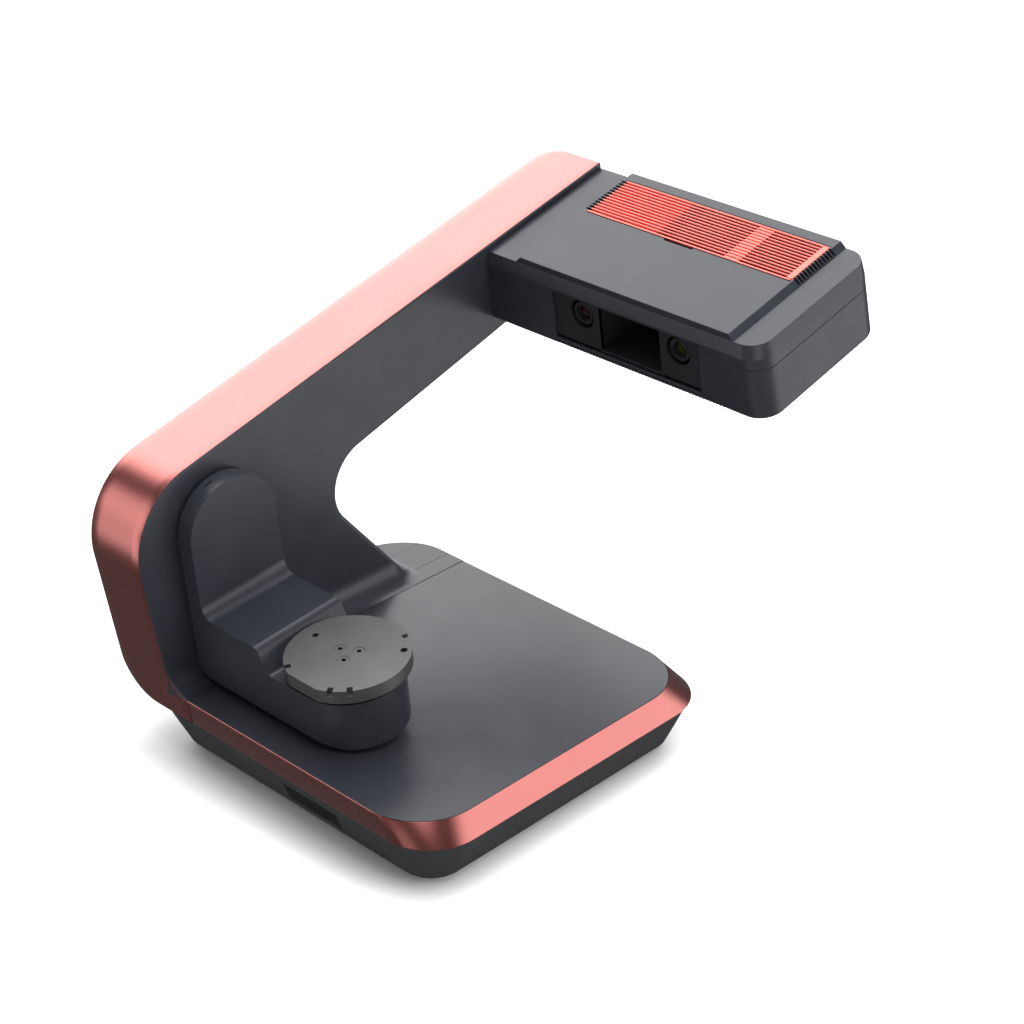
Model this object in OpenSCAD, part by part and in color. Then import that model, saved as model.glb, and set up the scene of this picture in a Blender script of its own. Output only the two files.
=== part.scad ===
// Desktop 3D scanner: an open C-frame stand with a tilting turntable arm and an overhead camera head.
// Working coordinates: X runs from the arm's inner side to the free edge of the base, Y runs from the
// front of the base to the back, and Z is up from the top of the base plate. The finished part stands
// with its origin under the middle of its box.

/* [Base] */
// Width of the base plate, from the arm's inner side to the free edge
base_w = 222; // [190:1:268]
// Depth of the base plate, front to back
base_d = 240; // [205:1:290]
// Height of the base, from the bottom of the pan to the plate
base_h = 50; // [45:1:62]
// Corner radius of the base plate
base_r = 40; // [28:1:48]
// Height of the coloured band round the base
band_h = 19; // [15:1:23]
// How far the band leans out at the free edge
band_flare_side = 6; // [2:1:10]
// How far the band leans out at the back
band_flare_back = 15; // [6:1:20]
// How far the pan tapers in under the band
pan_taper = 13; // [8:1:16]
// Height of the rubber feet
foot_h = 4; // [3:0.5:6]
// Radius of the rubber feet
foot_r = 9; // [7:0.5:12]

/* [Arm] */
// Thickness of the arm, side to side
arm_t = 48; // [44:1:58]
// Height of the arm's top face above the base plate, measured at the front
arm_h = 142; // [136:1:170]
// Slope of the arm's top face, in degrees
arm_rise = 14.7; // [12:0.1:17]
// Forward lean of the arm's front face, in degrees
arm_lean = 9.85; // [6:0.1:12]
// Length of the arm along its sloping top face
arm_len = 441; // [430:1:529]
// Radius of the big bend between the front and the top face
bend_r = 54; // [45:1:64]
// Radius at the nose of the open mouth
nose_r = 30; // [25:1:36]
// Depth from the front to the centre of the nose
nose_y = 171.4; // [160:0.1:180]
// Height of the centre of the nose above the plate
nose_z = 83.7; // [78:0.1:88]
// Slope of the mouth's upper edge, in degrees
mouth_rise = 17.1; // [15:0.1:19]
// Fall of the mouth's lower edge, in degrees
mouth_fall = 49.8; // [46:0.1:54]
// Fillet between the arm's side and the base plate
foot_fillet = 16; // [10:1:20]

/* [Head] */
// Width of the head, out from the arm's side
head_w = 233.8; // [219:0.2:280]
// How far the head's free side leans out from its bevel to its underside
head_flare = 3.8; // [1:0.1:6]
// Depth of the head along the sloping top face
head_d = 117.5; // [110:0.5:132]
// Height of the head, from its top face to its underside
head_h = 53.3; // [52:0.1:62]
// Height of the bevel round the top
bevel_h = 8.5; // [7:0.5:11]
// Inset of the bevel at the free side
bevel_in = 3; // [1.5:0.1:5]
// Step from the raised panel to its margin
panel_step = 4; // [3:0.5:5]
// Angle between the head's front and back walls and the normal of its top face
head_tip = 6.2; // [4:0.1:8]
// Corner radius of the head
head_r = 16; // [12:1:20]
// Distance between the two camera axes
camera_gap = 81; // [76:1:90]
// Radius of the camera openings
camera_r = 10; // [8.8:0.1:11]
// Width of the projector tunnel
tunnel_w = 51; // [44:1:54]

/* [Grille] */
// Width of the louvred grille
grille_w = 170; // [150:1:176]
// Depth of the louvred grille
grille_d = 42; // [36:1:46]
// Number of louvre bars
louvres = 13; // [9:1:16]

/* [Swing arm] */
// Height of the tilt axis above the base plate
pivot_z = 104.8; // [103:0.1:126]
// Distance of the tilt axis behind the front edge
pivot_y = 43.6; // [40:0.1:52]
// Lean of the swing arm as it stands, in degrees
swing_rest = 5.65; // [0:0.05:10]
// Half width of the swing arm
swing_half = 34; // [32:1:36]
// Depth from the tilt axis to the underside of the tray
swing_drop = 99.5; // [98:0.5:100]
// Running gap between the swing arm and the arm's side
swing_gap = 3; // [2.6:0.1:5]
// Thickness of the upright
upright_t = 12.6; // [12:0.1:16]

/* [Turntable] */
// Distance of the turntable's axis from the arm's side
table_x = 110; // [104:1:120]
// Radius of the turntable plate
plate_r = 39; // [34:0.5:44]
// Thickness of the turntable plate
plate_t = 9; // [7:0.5:10]
// Distance from the plate's axis to its flat
plate_flat = 37; // [32:0.5:38]
// Radius of the turntable spindle
spindle_r = 5; // [4:0.5:6]

/* [Drive] */
// Radius of the tilt shaft
shaft_r = 6; // [5:0.5:7]
// Pitch radius of the large tilt pulley
tilt_big_r = 26; // [22:1:30]
// Pitch radius of the small tilt pulley
tilt_small_r = 6.5; // [6:0.5:8]
// Distance between the tilt shaft and its motor
tilt_centres = 50; // [44:1:54]
// Pitch radius of the large turntable pulley
table_big_r = 22; // [18:1:24]
// Pitch radius of the small turntable pulley
table_small_r = 5.5; // [5:0.5:7]

/* [Fits] */
// Running clearance between a shaft and its bearing
run_gap = 0.05; // [0.03:0.01:0.08]
// Clearance between parts that sit side by side
part_gap = 0.3; // [0.25:0.05:0.5]
// Wall thickness of the moulded shells
wall = 2.5; // [2:0.1:3]
// Thickness of the coloured band
band_t = 1.2; // [1:0.1:1.6]

/* [Hidden] */

// Colours
dark = "#4A4B50";
pan_dark = "#38393B";
salmon = "#E8837B";
steel = "#8F9193";
alloy = "#B9BBBD";
black = "#1C1D20";
board_green = "#2F6B45";
glass = "#20242C";

// Facets of true circles, of the corners of blended shells, and of each arc in an outline
fine = 96;
soft = 32;
arc_steps = 24;
// Longer than anything on the part, and the thinnest slice used in a blend
big = 600;
eps = 0.01;

// ---- Side outline of the arm, in (Y, Z): each line is n . p = c, with n pointing into the solid ----
front_y = -2.4;
front_n = [cos(arm_lean), sin(arm_lean)];
front_c = front_y * cos(arm_lean);
top_n = [sin(arm_rise), -cos(arm_rise)];
top_c = -arm_h * cos(arm_rise);
back_a = arm_rise - head_tip;
back_n = [-cos(back_a), -sin(back_a)];
top_back = arm_len * [cos(arm_rise), sin(arm_rise)] + top_c * top_n;
back_c = back_n * top_back;
nose = [nose_y, nose_z];
upper_n = [-sin(mouth_rise), cos(mouth_rise)];
upper_c = upper_n * nose + nose_r;
lower_n = [-sin(mouth_fall), -cos(mouth_fall)];
lower_c = lower_n * nose + nose_r;
ground_n = [0, -1];
arm_low = -band_h;
rear_top = [base_d + band_t, 0];
rear_low = [base_d + band_flare_back, -band_h];
rear_dir = (rear_low - rear_top) / norm(rear_low - rear_top);
rear_n = [rear_dir[1], -rear_dir[0]];
rear_c = rear_n * rear_top;
// Meeting point of the lines n . p = c and m . p = e
function meet(n, c, m, e) = [c * m[1] - e * n[1], e * n[0] - c * m[0]] / (n[0] * m[1] - n[1] * m[0]);
// Depth of the front plane at height z
function front_at(z) = front_y - z * tan(arm_lean);

bend_c = meet(front_n, front_c + bend_r, top_n, top_c + bend_r);
foot_c = [(lower_c - foot_fillet - lower_n[1] * foot_fillet) / lower_n[0], foot_fillet];

// ---- Lines that several pieces share ----
seam_x = 15;
split_x = -arm_t / 2;
arm_corner = 28;
arm_tail_r = 16.4;
cavity_in = band_t + wall;

// ---- Head ----
head_front = arm_len - head_d;
wall_top = -(panel_step + bevel_h);
seam_drop = 7.2;
head_seam = wall_top - seam_drop;
// The head's lower back corner
head_low = top_back + head_h / cos(head_tip) * [sin(back_a), -cos(back_a)];
arm_back_low = meet(back_n, back_c, upper_n, upper_c);

// ---- Overall box, for the origin ----
x_low = -arm_t;
x_high = max(head_w, base_w + band_flare_side);
y_low = bend_c[0] - bend_r;
y_high = max(head_low[0], arm_back_low[0], rear_low[0]);
z_low = -base_h - foot_h;

// ---- Placement helpers ----
module place() translate([-(x_low + x_high) / 2, -(y_low + y_high) / 2, -z_low]) children();
// Extrudes a (Y, Z) outline along X, and an (X, Z) outline along Y
module side_extrude(x0, x1) translate([x0, 0, 0]) rotate([90, 0, 90]) linear_extrude(x1 - x0) children();
module front_extrude(y0, y1) translate([0, y1, 0]) rotate([90, 0, 0]) linear_extrude(y1 - y0) children();
module plan_extrude(z0, z1) translate([0, 0, z0]) linear_extrude(z1 - z0) children();
// Frame of the sloping top: Y up the slope, Z square to it, 0 on the top face
module on_top() rotate([arm_rise, 0, 0]) translate([0, 0, -top_c]) children();
// Frame of the head's front wall: 0 at the lower edge of the bevel, Y into the head
module on_wall() on_top() translate([0, head_front, wall_top]) rotate([-head_tip, 0, 0]) children();
// Frame of the head: 0 on its top face, above the top of the front wall
module on_head() on_top() translate([0, head_front, 0]) children();
// Height of the head's floor in the frame of the front wall, at depth y
function floor_at(y) = (wall - head_h - wall_top + y * sin(head_tip)) / cos(head_tip);
// Frame of the swing arm: 0 on the tilt axis
module on_swing() translate([0, pivot_y, pivot_z]) rotate([swing_rest, 0, 0]) children();
// Frame of the turntable, on its axis
module on_table() on_swing() translate([table_x, 0, 0]) children();
module block(x0, x1, y0, y1, z0, z1) translate([x0, y0, z0]) cube([x1 - x0, y1 - y0, z1 - z0]);
module disc(r) circle(r = r, $fn = fine);
module rod_x(r, x0, x1, y = 0, z = 0) translate([x0, y, z]) rotate([0, 90, 0])
    cylinder(h = x1 - x0, r = r, $fn = fine);
module rod_y(r, y0, y1, x = 0, z = 0) translate([x, y1, z]) rotate([90, 0, 0])
    cylinder(h = y1 - y0, r = r, $fn = fine);
module rod_z(r, z0, z1, x = 0, y = 0) translate([x, y, z0]) cylinder(h = z1 - z0, r = r, $fn = fine);
module box_2d(x0, x1, y0, y1) translate([x0, y0]) square([x1 - x0, y1 - y0]);

// Rectangle with round corners at high X, and at low X where left_r is set
module slab_2d(x0, x1, y0, y1, r, left_r = 0) {
    l = max(left_r, eps);
    hull() {
        for (y = [y0 + r, y1 - r]) translate([x1 - r, y]) circle(r = r, $fn = soft);
        for (y = [y0 + l, y1 - l]) translate([x0 + l, y]) circle(r = l, $fn = soft);
    }
}

// Removes the corner of a right angle whose sides are rounded to r: the corner is at 0, inside to +X +Y
module corner_cut(r) difference() {
    translate([-big, -big]) square(big + r);
    translate([r, r]) disc(r);
}

// Points of the shorter arc about c, from the direction u to the direction v
function arc(c, r, u, v) = [for (i = [0 : arc_steps])
    let (a = atan2(u[1], u[0]), turn = (atan2(v[1], v[0]) - a + 540) % 360 - 180)
        c + r * [cos(a + turn * i / arc_steps), sin(a + turn * i / arc_steps)]];

// Closed belt outline round two pulleys: r1 at the origin, r2 at distance d along +X
module belt_2d(r1, r2, d) {
    a = acos((r1 - r2) / d);
    up = [cos(a), sin(a)];
    down = [cos(a), -sin(a)];
    polygon(concat(arc([0, 0], r1, up, [-1, 0]), arc([0, 0], r1, [-1, 0], down),
        arc([d, 0], r2, down, [1, 0]), arc([d, 0], r2, [1, 0], up)));
}

// ---- Stand: arm ----

// Side outline of the arm: d insets the front and top, m the mouth, the back and the base
module arm_outline(d = 0, m = 0, low = arm_low) polygon(concat(
    [meet(front_n, front_c + d, ground_n, -low)],
    arc(bend_c, bend_r - d, -front_n, -top_n),
    [meet(top_n, top_c + d, back_n, back_c + m), meet(back_n, back_c + m, upper_n, upper_c + m)],
    arc(nose, nose_r + m, upper_n, lower_n),
    arc(foot_c, foot_fillet + m, lower_n, ground_n),
    [meet(ground_n, m, rear_n, rear_c + m), meet(rear_n, rear_c + m, ground_n, -low)]
));

// Rounds that trim the arm: its lower left edge, its back left corner and the base's back left corner
module arm_trim(d = 0) {
    front_extrude(-big, big) translate([-arm_t + d, arm_low + d]) corner_cut(arm_corner - d);
    on_top() translate([-arm_t + d, arm_len - d, 0]) rotate([-head_tip, 0, 0])
        translate([0, 0, -big / 2]) linear_extrude(big) mirror([0, 1]) corner_cut(arm_tail_r - d);
    translate([0, rear_low[0], rear_low[1]]) rotate([atan2(rear_low[0] - rear_top[0], band_h), 0, 0])
        translate([-arm_t + d, -d, -band_h]) linear_extrude(band_h * 4) mirror([0, 1])
            corner_cut(base_r - d);
}

// Front view of the fillet and strip where the arm meets the base plate, up to the seam
module foot_strip_2d() intersection() {
    union() {
        difference() {
            square(foot_fillet);
            translate([foot_fillet, foot_fillet]) disc(foot_fillet);
        }
        box_2d(0, seam_x, -wall, 0);
    }
    box_2d(0, seam_x, -wall, foot_fillet);
}

// Clearance hole of the tilt shaft
shaft_hole_r = shaft_r + 2;
// Screws that hold the outer cover, through the frame's edge
cover_screws = [[8, 25], [150, 15], [110, 135], [200, 160], [290, 186], [365, 207]];
screw_r = 1.5;
screw_head_r = 2.9;
// Wall of a screw boss, and the clearance round a screw head
screw_boss = 1.5;
head_gap = 0.1;
frame_x0 = -27;
frame_x1 = -21;

module arm_inner_cover() color(dark) difference() {
    union() {
        side_extrude(split_x, 0) arm_outline(band_t);
        intersection() {
            front_extrude(-big, big) foot_strip_2d();
            side_extrude(0, seam_x) arm_outline(band_t);
        }
        side_extrude(0, seam_x) intersection() {
            arm_outline(band_t);
            union() {
                box_2d(-big, front_at(0) + cavity_in, arm_low, 0);
                box_2d(base_d - wall, big, arm_low, 0);
            }
        }
    }
    side_extrude(split_x - 1, -wall) arm_outline(cavity_in, wall, arm_low - 1);
    block(split_x - 1, seam_x + 1, front_at(0) + cavity_in, base_d - wall, arm_low - 1, -wall);
    rod_x(shaft_hole_r, -wall - 1, 1, pivot_y, pivot_z);
    on_wall() block(-wall - 1, 1, bracket_y0 - 1, bracket_y1 + 1, bracket_z0 - 1, bracket_z1 + 1);
    arm_trim();
}

module arm_outer_cover() color(dark) difference() {
    union() {
        difference() {
            side_extrude(-arm_t, split_x) arm_outline(band_t);
            side_extrude(-arm_t + wall, split_x + 1) arm_outline(cavity_in, wall, arm_low - 1);
        }
        difference() {
            side_extrude(-arm_t, split_x) arm_outline(band_t);
            arm_trim(wall);
            side_extrude(-arm_t - 1, split_x + 1) arm_outline(cavity_in, wall, arm_low - 1);
        }
        difference() {
            intersection() {
                side_extrude(-arm_t, split_x) arm_outline(band_t);
                arm_trim(wall);
            }
            arm_trim();
        }
        for (p = cover_screws) rod_x(screw_head_r + screw_boss, -arm_t, frame_x0, p[0], p[1]);
    }
    for (p = cover_screws) {
        rod_x(screw_head_r + head_gap, -arm_t - 1, -arm_t + wall + 0.5, p[0], p[1]);
        rod_x(screw_r + run_gap, -arm_t, split_x, p[0], p[1]);
    }
    arm_trim();
}

// Coloured strip over the top, round the bend, down the front and along the front of the base
module arm_band() color(salmon) difference() {
    intersection() {
        side_extrude(-arm_t, seam_x) difference() {
            arm_outline();
            arm_outline(band_t, -big / 100, arm_low - 1);
        }
        front_extrude(-big, big) union() {
            box_2d(-arm_t, 0, arm_low, big);
            box_2d(-arm_t, seam_x, arm_low, 0);
            foot_strip_2d();
        }
    }
    arm_trim();
}

// Bearings of the tilt shaft, one each side of the frame plate
bearing_r = 14;
bearing_w = 8;
boss_x0 = -31;
boss_x1 = -6;
frame_floor = -12;
frame_foot_t = 6;
frame_foot_y0 = 30;
frame_foot_y1 = 190;
// Inset of the frame plate inside the covers' walls
frame_in = 0.6;
motor_size = 42;
motor_t = 17.6;
motor_a = -60;
tilt_motor_at = [pivot_y, pivot_z] + tilt_centres * [cos(motor_a), sin(motor_a)];
motor_boss_r = 11;

module arm_frame() color(alloy) difference() {
    union() {
        intersection() {
            side_extrude(frame_x0, frame_x1) arm_outline(cavity_in + frame_in, wall + frame_in);
            block(-big, big, -big, big, frame_floor, big);
        }
        block(frame_x1, seam_x + 7, frame_foot_y0, frame_foot_y1, frame_floor, frame_floor + frame_foot_t);
        rod_x(bearing_r + 5, boss_x0, boss_x1, pivot_y, pivot_z);
    }
    arm_trim(wall + frame_in);
    for (x = [boss_x0, boss_x1 - bearing_w]) rod_x(bearing_r, x, x + bearing_w, pivot_y, pivot_z);
    rod_x(shaft_hole_r + 1, boss_x0 - 1, boss_x1 + 1, pivot_y, pivot_z);
    rod_x(motor_boss_r + 0.1, frame_x0 - 1, frame_x1 + 1, tilt_motor_at[0], tilt_motor_at[1]);
    for (p = cover_screws) rod_x(screw_r + run_gap, frame_x0 - 1, frame_x1 + 1, p[0], p[1]);
}

module arm_cover_screws() color(black) for (p = cover_screws) difference() {
    union() {
        rod_x(screw_head_r, -arm_t + 0.5, -arm_t + wall + 0.5, p[0], p[1]);
        rod_x(screw_r, -arm_t + wall, frame_x1 - 0.5, p[0], p[1]);
    }
    translate([-arm_t, p[0], p[1]]) rotate([0, 90, 0]) cylinder(h = 2, r = 1.4, $fn = 6);
}

// ---- Stand: tilt drive ----
belt_x0 = -43;
belt_x1 = -37;
belt_t = 1.5;
belt_gap = 0.15;
// Gap between a belt's edge and the flange
belt_side = 0.2;
flange_t = 0.8;
flange_h = 2;
motor_shaft_r = 2.5;

module on_tilt_motor() translate([0, tilt_motor_at[0], tilt_motor_at[1]]) children();

module tilt_motor() color(black) on_tilt_motor() difference() {
    half = motor_size / 2;
    union() {
        block(frame_x1, frame_x1 + motor_t, -half, half, -half, half);
        rod_x(motor_boss_r, frame_x1 - 2, frame_x1);
    }
    rod_x(motor_shaft_r + run_gap, frame_x1 - 3, frame_x1 + 12);
}

// A belt pulley along X with a flange at each side of the belt
module pulley(r, x0, x1) {
    rod_x(r - belt_gap, x0 - belt_side, x1 + belt_side);
    rod_x(r + flange_h, x0 - belt_side - flange_t, x0 - belt_side);
    rod_x(r + flange_h, x1 + belt_side, x1 + belt_side + flange_t);
}

module tilt_motor_pulley() color(alloy) on_tilt_motor() union() {
    pulley(tilt_small_r, belt_x0, belt_x1);
    rod_x(motor_shaft_r, belt_x1, frame_x1 + 10);
}

module tilt_belt() color(black) translate([belt_x0, pivot_y, pivot_z]) rotate([motor_a, 0, 0])
    rotate([90, 0, 90]) linear_extrude(belt_x1 - belt_x0) difference() {
        belt_2d(tilt_big_r + belt_t, tilt_small_r + belt_t, tilt_centres);
        belt_2d(tilt_big_r, tilt_small_r, tilt_centres);
    }

module tilt_bearings() color(steel) translate([0, pivot_y, pivot_z])
    for (x = [boss_x0, boss_x1 - bearing_w]) difference() {
        rod_x(bearing_r, x, x + bearing_w);
        rod_x(shaft_r + run_gap, x - 1, x + bearing_w + 1);
    }

swing_flange_x = swing_gap + wall + 0.2;
shaft_flange_t = 3;
module tilt_shaft() color(steel) on_swing() union() {
    rod_x(shaft_r, belt_x0 - 2, swing_flange_x + shaft_flange_t);
    rod_x(bearing_r, swing_flange_x, swing_flange_x + shaft_flange_t);
}

module tilt_pulley() color(alloy) on_swing() difference() {
    union() {
        pulley(tilt_big_r, belt_x0, belt_x1);
        rod_x(shaft_r + 3, belt_x1, boss_x0 - part_gap);
    }
    rod_x(shaft_r, belt_x0 - 3, boss_x0);
}

cable_t = 1;
// Flat cable that follows the inside of the arm's front and top
module head_cable() color(black) intersection() {
    side_extrude(frame_x1 + 1.5, -wall - 5.5) difference() {
        arm_outline(cavity_in + 0.1, -2);
        arm_outline(cavity_in + 0.1 + cable_t, -9, arm_low - 9);
    }
    rotate([arm_rise, 0, 0]) block(-big, big, -big, head_front + 20, frame_floor, big);
}

// ---- Stand: base ----
plate_x0 = seam_x + part_gap;
side_bottom = base_w + band_flare_side;
band_corner = base_r - 4;
// Height of the turned-in lip at the foot of the band
lip = 1;

// Outline of the base at the plate and at the widest line, inset by d
module rim_2d(x0, d) slab_2d(x0, base_w + band_t - d, front_y + d, base_d + band_t - d, base_r + band_t - d);
module waist_2d(x0, d) slab_2d(x0, side_bottom - d, front_at(-band_h) + d, rear_low[0] - d, band_corner - d);
// The leaning side of the base from x0 on, inset by d, and run past its top and bottom by over
module skirt(x0, d, over = 0) hull() {
    translate([0, 0, over]) linear_extrude(eps) rim_2d(x0, d);
    translate([0, 0, -band_h + lip]) linear_extrude(eps) waist_2d(x0, d);
    translate([0, 0, -band_h - over]) linear_extrude(eps) waist_2d(x0, d + lip / 2);
}

// The band's inner face is a little further in than its thickness, because the skirt leans
band_in = band_t * 1.15;

module base_top_cover() color(dark) intersection() {
    translate([0, 0, -eps]) skirt(plate_x0, band_in + 0.1);
    block(0, big, -big, big, -wall, 1);
}

module base_band() color(salmon) difference() {
    translate([0, 0, -eps]) skirt(plate_x0, 0);
    skirt(plate_x0 - 1, band_in, 0.1);
}

pan_top = -band_h - 0.3;
pan_floor = -base_h + wall;
rim_in = 1.6;
// Left side, front and corner radius of the pan: at its top, at its chine and at its floor
pan_left = [-30, -22, -19];
pan_front = [front_at(-band_h) + rim_in, 13.2, 16.5];
pan_corner = [24, 23, 20];
chine_h = 5;
// Outer shape of the pan, inset by d
module pan_solid(d) hull() {
    chine_x1 = side_bottom - pan_taper + 1;
    chine_y1 = rear_low[0] - pan_taper - 2;
    translate([0, 0, pan_top - (d > 0 ? -eps : eps)]) linear_extrude(eps)
        slab_2d(pan_left[0] + d, side_bottom - rim_in - d, pan_front[0] + d, rear_low[0] - rim_in - d,
            band_corner - rim_in - d, pan_corner[0] - d);
    translate([0, 0, -base_h + chine_h]) linear_extrude(eps)
        slab_2d(pan_left[1] + d, chine_x1 - d, pan_front[1] + d, chine_y1 - d, pan_corner[1] - d,
            pan_corner[1] - d);
    translate([0, 0, -base_h + d]) linear_extrude(eps)
        slab_2d(pan_left[2] + d, chine_x1 - 3 - d, pan_front[2] + d, chine_y1 - 4 - d, pan_corner[2] - d,
            pan_corner[2] - d);
}

// Vent in the front wall of the pan
vent_x0 = 93;
vent_x1 = 141;
vent_h = 16.6;
vent_z = -36.5;
vent_lean = 20;
vent_slots = 18;
vent_y = 10;
vent_pitch = (vent_x1 - vent_x0 - 3) / vent_slots;
module on_vent() translate([0, vent_y, vent_z]) rotate([vent_lean, 0, 0]) children();

// Recess at the back for the sockets and the button
recess_x0 = 62;
recess_x1 = 158;
recess_y = 228;
recess_z0 = -45;
recess_z1 = -23;
panel_t = 2;
socket_z = -34;
inlet_x = 77;
usb_x = 104;
button_x = 140;
// Half widths of the openings for the inlet, the data socket and the button, and the sockets' half height
inlet_half = 7;
usb_half = 9;
button_half = 10;
socket_half = 7;
socket_fit = 0.2;
socket_depth = 12;

// Screws that join the pan, the chassis and the top cover
pan_screw_at = [[48, 42], [190, 42], [48, 200], [190, 200]];
chassis_t = 5;
chassis_r = 18;
chassis_x0 = -14;
chassis_x1 = 204;
chassis_y0 = 22;
chassis_y1 = 222;
// Width of the two piers that carry the arm's frame
pier_w = 38;
chassis_top = pan_floor + chassis_t;
feet_at = [[4, 38], [194, 38], [4, 214], [194, 214]];

// A block about a socket's centre, with half its width and half its height
module socket_block(x, half, high, y0, y1) block(x - half, x + half, y0, y1, socket_z - high, socket_z + high);

module base_pan() color(pan_dark) difference() {
    union() {
        difference() {
            pan_solid(0);
            pan_solid(wall);
        }
        intersection() {
            pan_solid(wall / 2);
            block(recess_x0 - panel_t, recess_x1 + panel_t, recess_y - panel_t, big, pan_floor - 1,
                recess_z1 + panel_t);
        }
    }
    block(recess_x0, recess_x1, recess_y, big, recess_z0, recess_z1);
    for (w = [[inlet_x, inlet_half], [usb_x, usb_half], [button_x, button_half]])
        socket_block(w[0], w[1], socket_half, recess_y - 9, recess_y + 1);
    block(recess_x0 + 1, recess_x1 - 1, recess_y - 40, recess_y - panel_t, pan_floor + 0.5, recess_z1 + 1);
    on_vent() block(vent_x0, vent_x1, -9, 9, -vent_h / 2, vent_h / 2);
    for (p = pan_screw_at) {
        rod_z(screw_r + run_gap, -base_h - 1, pan_floor + 1, p[0], p[1]);
        rod_z(screw_head_r + head_gap, -base_h - 1, -base_h + 1.5, p[0], p[1]);
    }
}

module vent_panel() color(black) on_vent() difference() {
    block(vent_x0 + 0.15, vent_x1 - 0.15, 0.3, 2.3, -vent_h / 2 + 0.15, vent_h / 2 - 0.15);
    for (i = [0 : vent_slots - 1]) translate([vent_x0 + 1.5 + (i + 0.25) * vent_pitch, 0, 0])
        block(0, vent_pitch / 2, -1, 4, -6.2, 6.2);
}

module base_feet() color(black) for (p = feet_at) difference() {
    rod_z(foot_r, z_low, -base_h, p[0], p[1]);
    rod_z(foot_r - 4, z_low - 1, z_low + 1, p[0], p[1]);
}

board_z = chassis_top + 7;
board_t = 1.6;
board_post_r = 3.5;
board_at = [[70, 110], [150, 110], [70, 190], [150, 190]];
module base_chassis() color(steel) difference() {
    union() {
        plan_extrude(pan_floor, chassis_top)
            slab_2d(chassis_x0, chassis_x1, chassis_y0, chassis_y1, chassis_r, chassis_r);
        for (y = [32, 150]) block(-10, seam_x + 5, y, y + pier_w, chassis_top, frame_floor);
        for (p = board_at) rod_z(board_post_r, chassis_top, board_z, p[0], p[1]);
    }
    for (p = pan_screw_at) rod_z(screw_r + run_gap, pan_floor - 1, chassis_top + 1, p[0], p[1]);
}

// The board carries a processor, a coil, a driver and a row of capacitors
module mainboard() color(board_green) union() {
    on = board_z + board_t;
    block(62, 158, 102, 198, board_z, on);
    block(80, 104, 130, 154, on, on + 2.5);
    block(120, 134, 120, 132, on, on + 8);
    block(120, 148, 150, 166, on, on + 3);
    for (x = [72 : 12 : 108]) rod_z(4, on, on + 11, x, 184);
}

module pan_screws() color(steel) for (p = pan_screw_at) union() {
    rod_z(screw_head_r, -base_h + 0.1, -base_h + 1.5, p[0], p[1]);
    rod_z(screw_r, -base_h + 1.5, chassis_top + 4, p[0], p[1]);
    rod_z(3, chassis_top, chassis_top + 3.2, p[0], p[1]);
}

module power_inlet() color(black) difference() {
    socket_block(inlet_x, inlet_half - socket_fit, socket_half - socket_fit, recess_y - socket_depth,
        recess_y + 1);
    rod_y(4.2, recess_y - 9, recess_y + 2, inlet_x, socket_z);
}

module usb_socket() color(steel) difference() {
    socket_block(usb_x, usb_half - socket_fit, socket_half - socket_fit, recess_y - socket_depth, recess_y + 1);
    socket_block(usb_x, usb_half - 3, socket_half - 2, recess_y - 10, recess_y + 2);
    socket_block(usb_x, usb_half - 4, 1, recess_y - 11, recess_y);
}

button_r = 6;
module button_housing() color(black) difference() {
    socket_block(button_x, button_half - socket_fit, socket_half - socket_fit, recess_y - socket_depth,
        recess_y + 0.5);
    rod_y(button_r + run_gap, recess_y - 13, recess_y + 2, button_x, socket_z);
}

module power_button() color(steel) rod_y(button_r, recess_y - 8, recess_y + 3, button_x, socket_z);

// A square fan frame about the Z axis, and the rotor that turns on its pin
fan_t = 10;
pin_r = 1.5;
fan_hub_r = 7;
module fan_frame(size) difference() {
    union() {
        difference() {
            block(-size / 2, size / 2, -size / 2, size / 2, 0, fan_t);
            rod_z(size / 2 - 1.5, -1, fan_t + 1);
        }
        rod_z(fan_hub_r, 0, 1.5);
        rod_z(pin_r, 0, fan_t - 2);
        for (a = [45 : 90 : 315]) rotate([0, 0, a]) block(0, size / 2 - 1, -1, 1, 0, 1.5);
    }
}

module fan_rotor(size) difference() {
    union() {
        rod_z(fan_hub_r, 2, fan_t - 0.5);
        for (a = [0 : 360 / 7 : 359]) rotate([0, 0, a]) translate([fan_hub_r - 1, 0, fan_t / 2 + 0.7])
            rotate([35, 0, 0]) block(0, size / 2 - fan_hub_r - 1.5, -4, 4, -0.5, 0.5);
    }
    rod_z(pin_r + run_gap, 1, fan_t - 1.5);
}

base_fan = 35;
base_fan_at = [(vent_x0 + vent_x1) / 2, 32];
module on_base_fan() translate([base_fan_at[0], base_fan_at[1], chassis_top + base_fan / 2])
    rotate([90, 0, 0]) children();
module base_fan_frame() color(black) on_base_fan() fan_frame(base_fan);
module base_fan_rotor() color(pan_dark) on_base_fan() fan_rotor(base_fan);

// ---- Stand: head ----
panel_x0 = 29;
panel_x1 = head_w - 29.8;
panel_front = head_front + 4.1;
panel_lean = 0.6;
// Depth of the head's back wall at height z under the top face
function head_back(z) = arm_len - z * tan(head_tip);
// Outlines across the head in the frame of the top: at the margin, at the foot of the bevel and at the
// underside
module margin_2d(d) slab_2d(part_gap + d, head_w - head_flare - bevel_in - d,
    panel_front - panel_lean + d, head_back(panel_step) - d, head_r - 1.5);
module shoulder_2d(d) slab_2d(part_gap + d, head_w - head_flare - d, head_front + d,
    head_back(-wall_top) - d, head_r);
module underside_2d(d) slab_2d(part_gap + d, head_w - d,
    head_front - (head_h + wall_top) * tan(head_tip) + d, head_back(head_h) - d, head_r);

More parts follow.
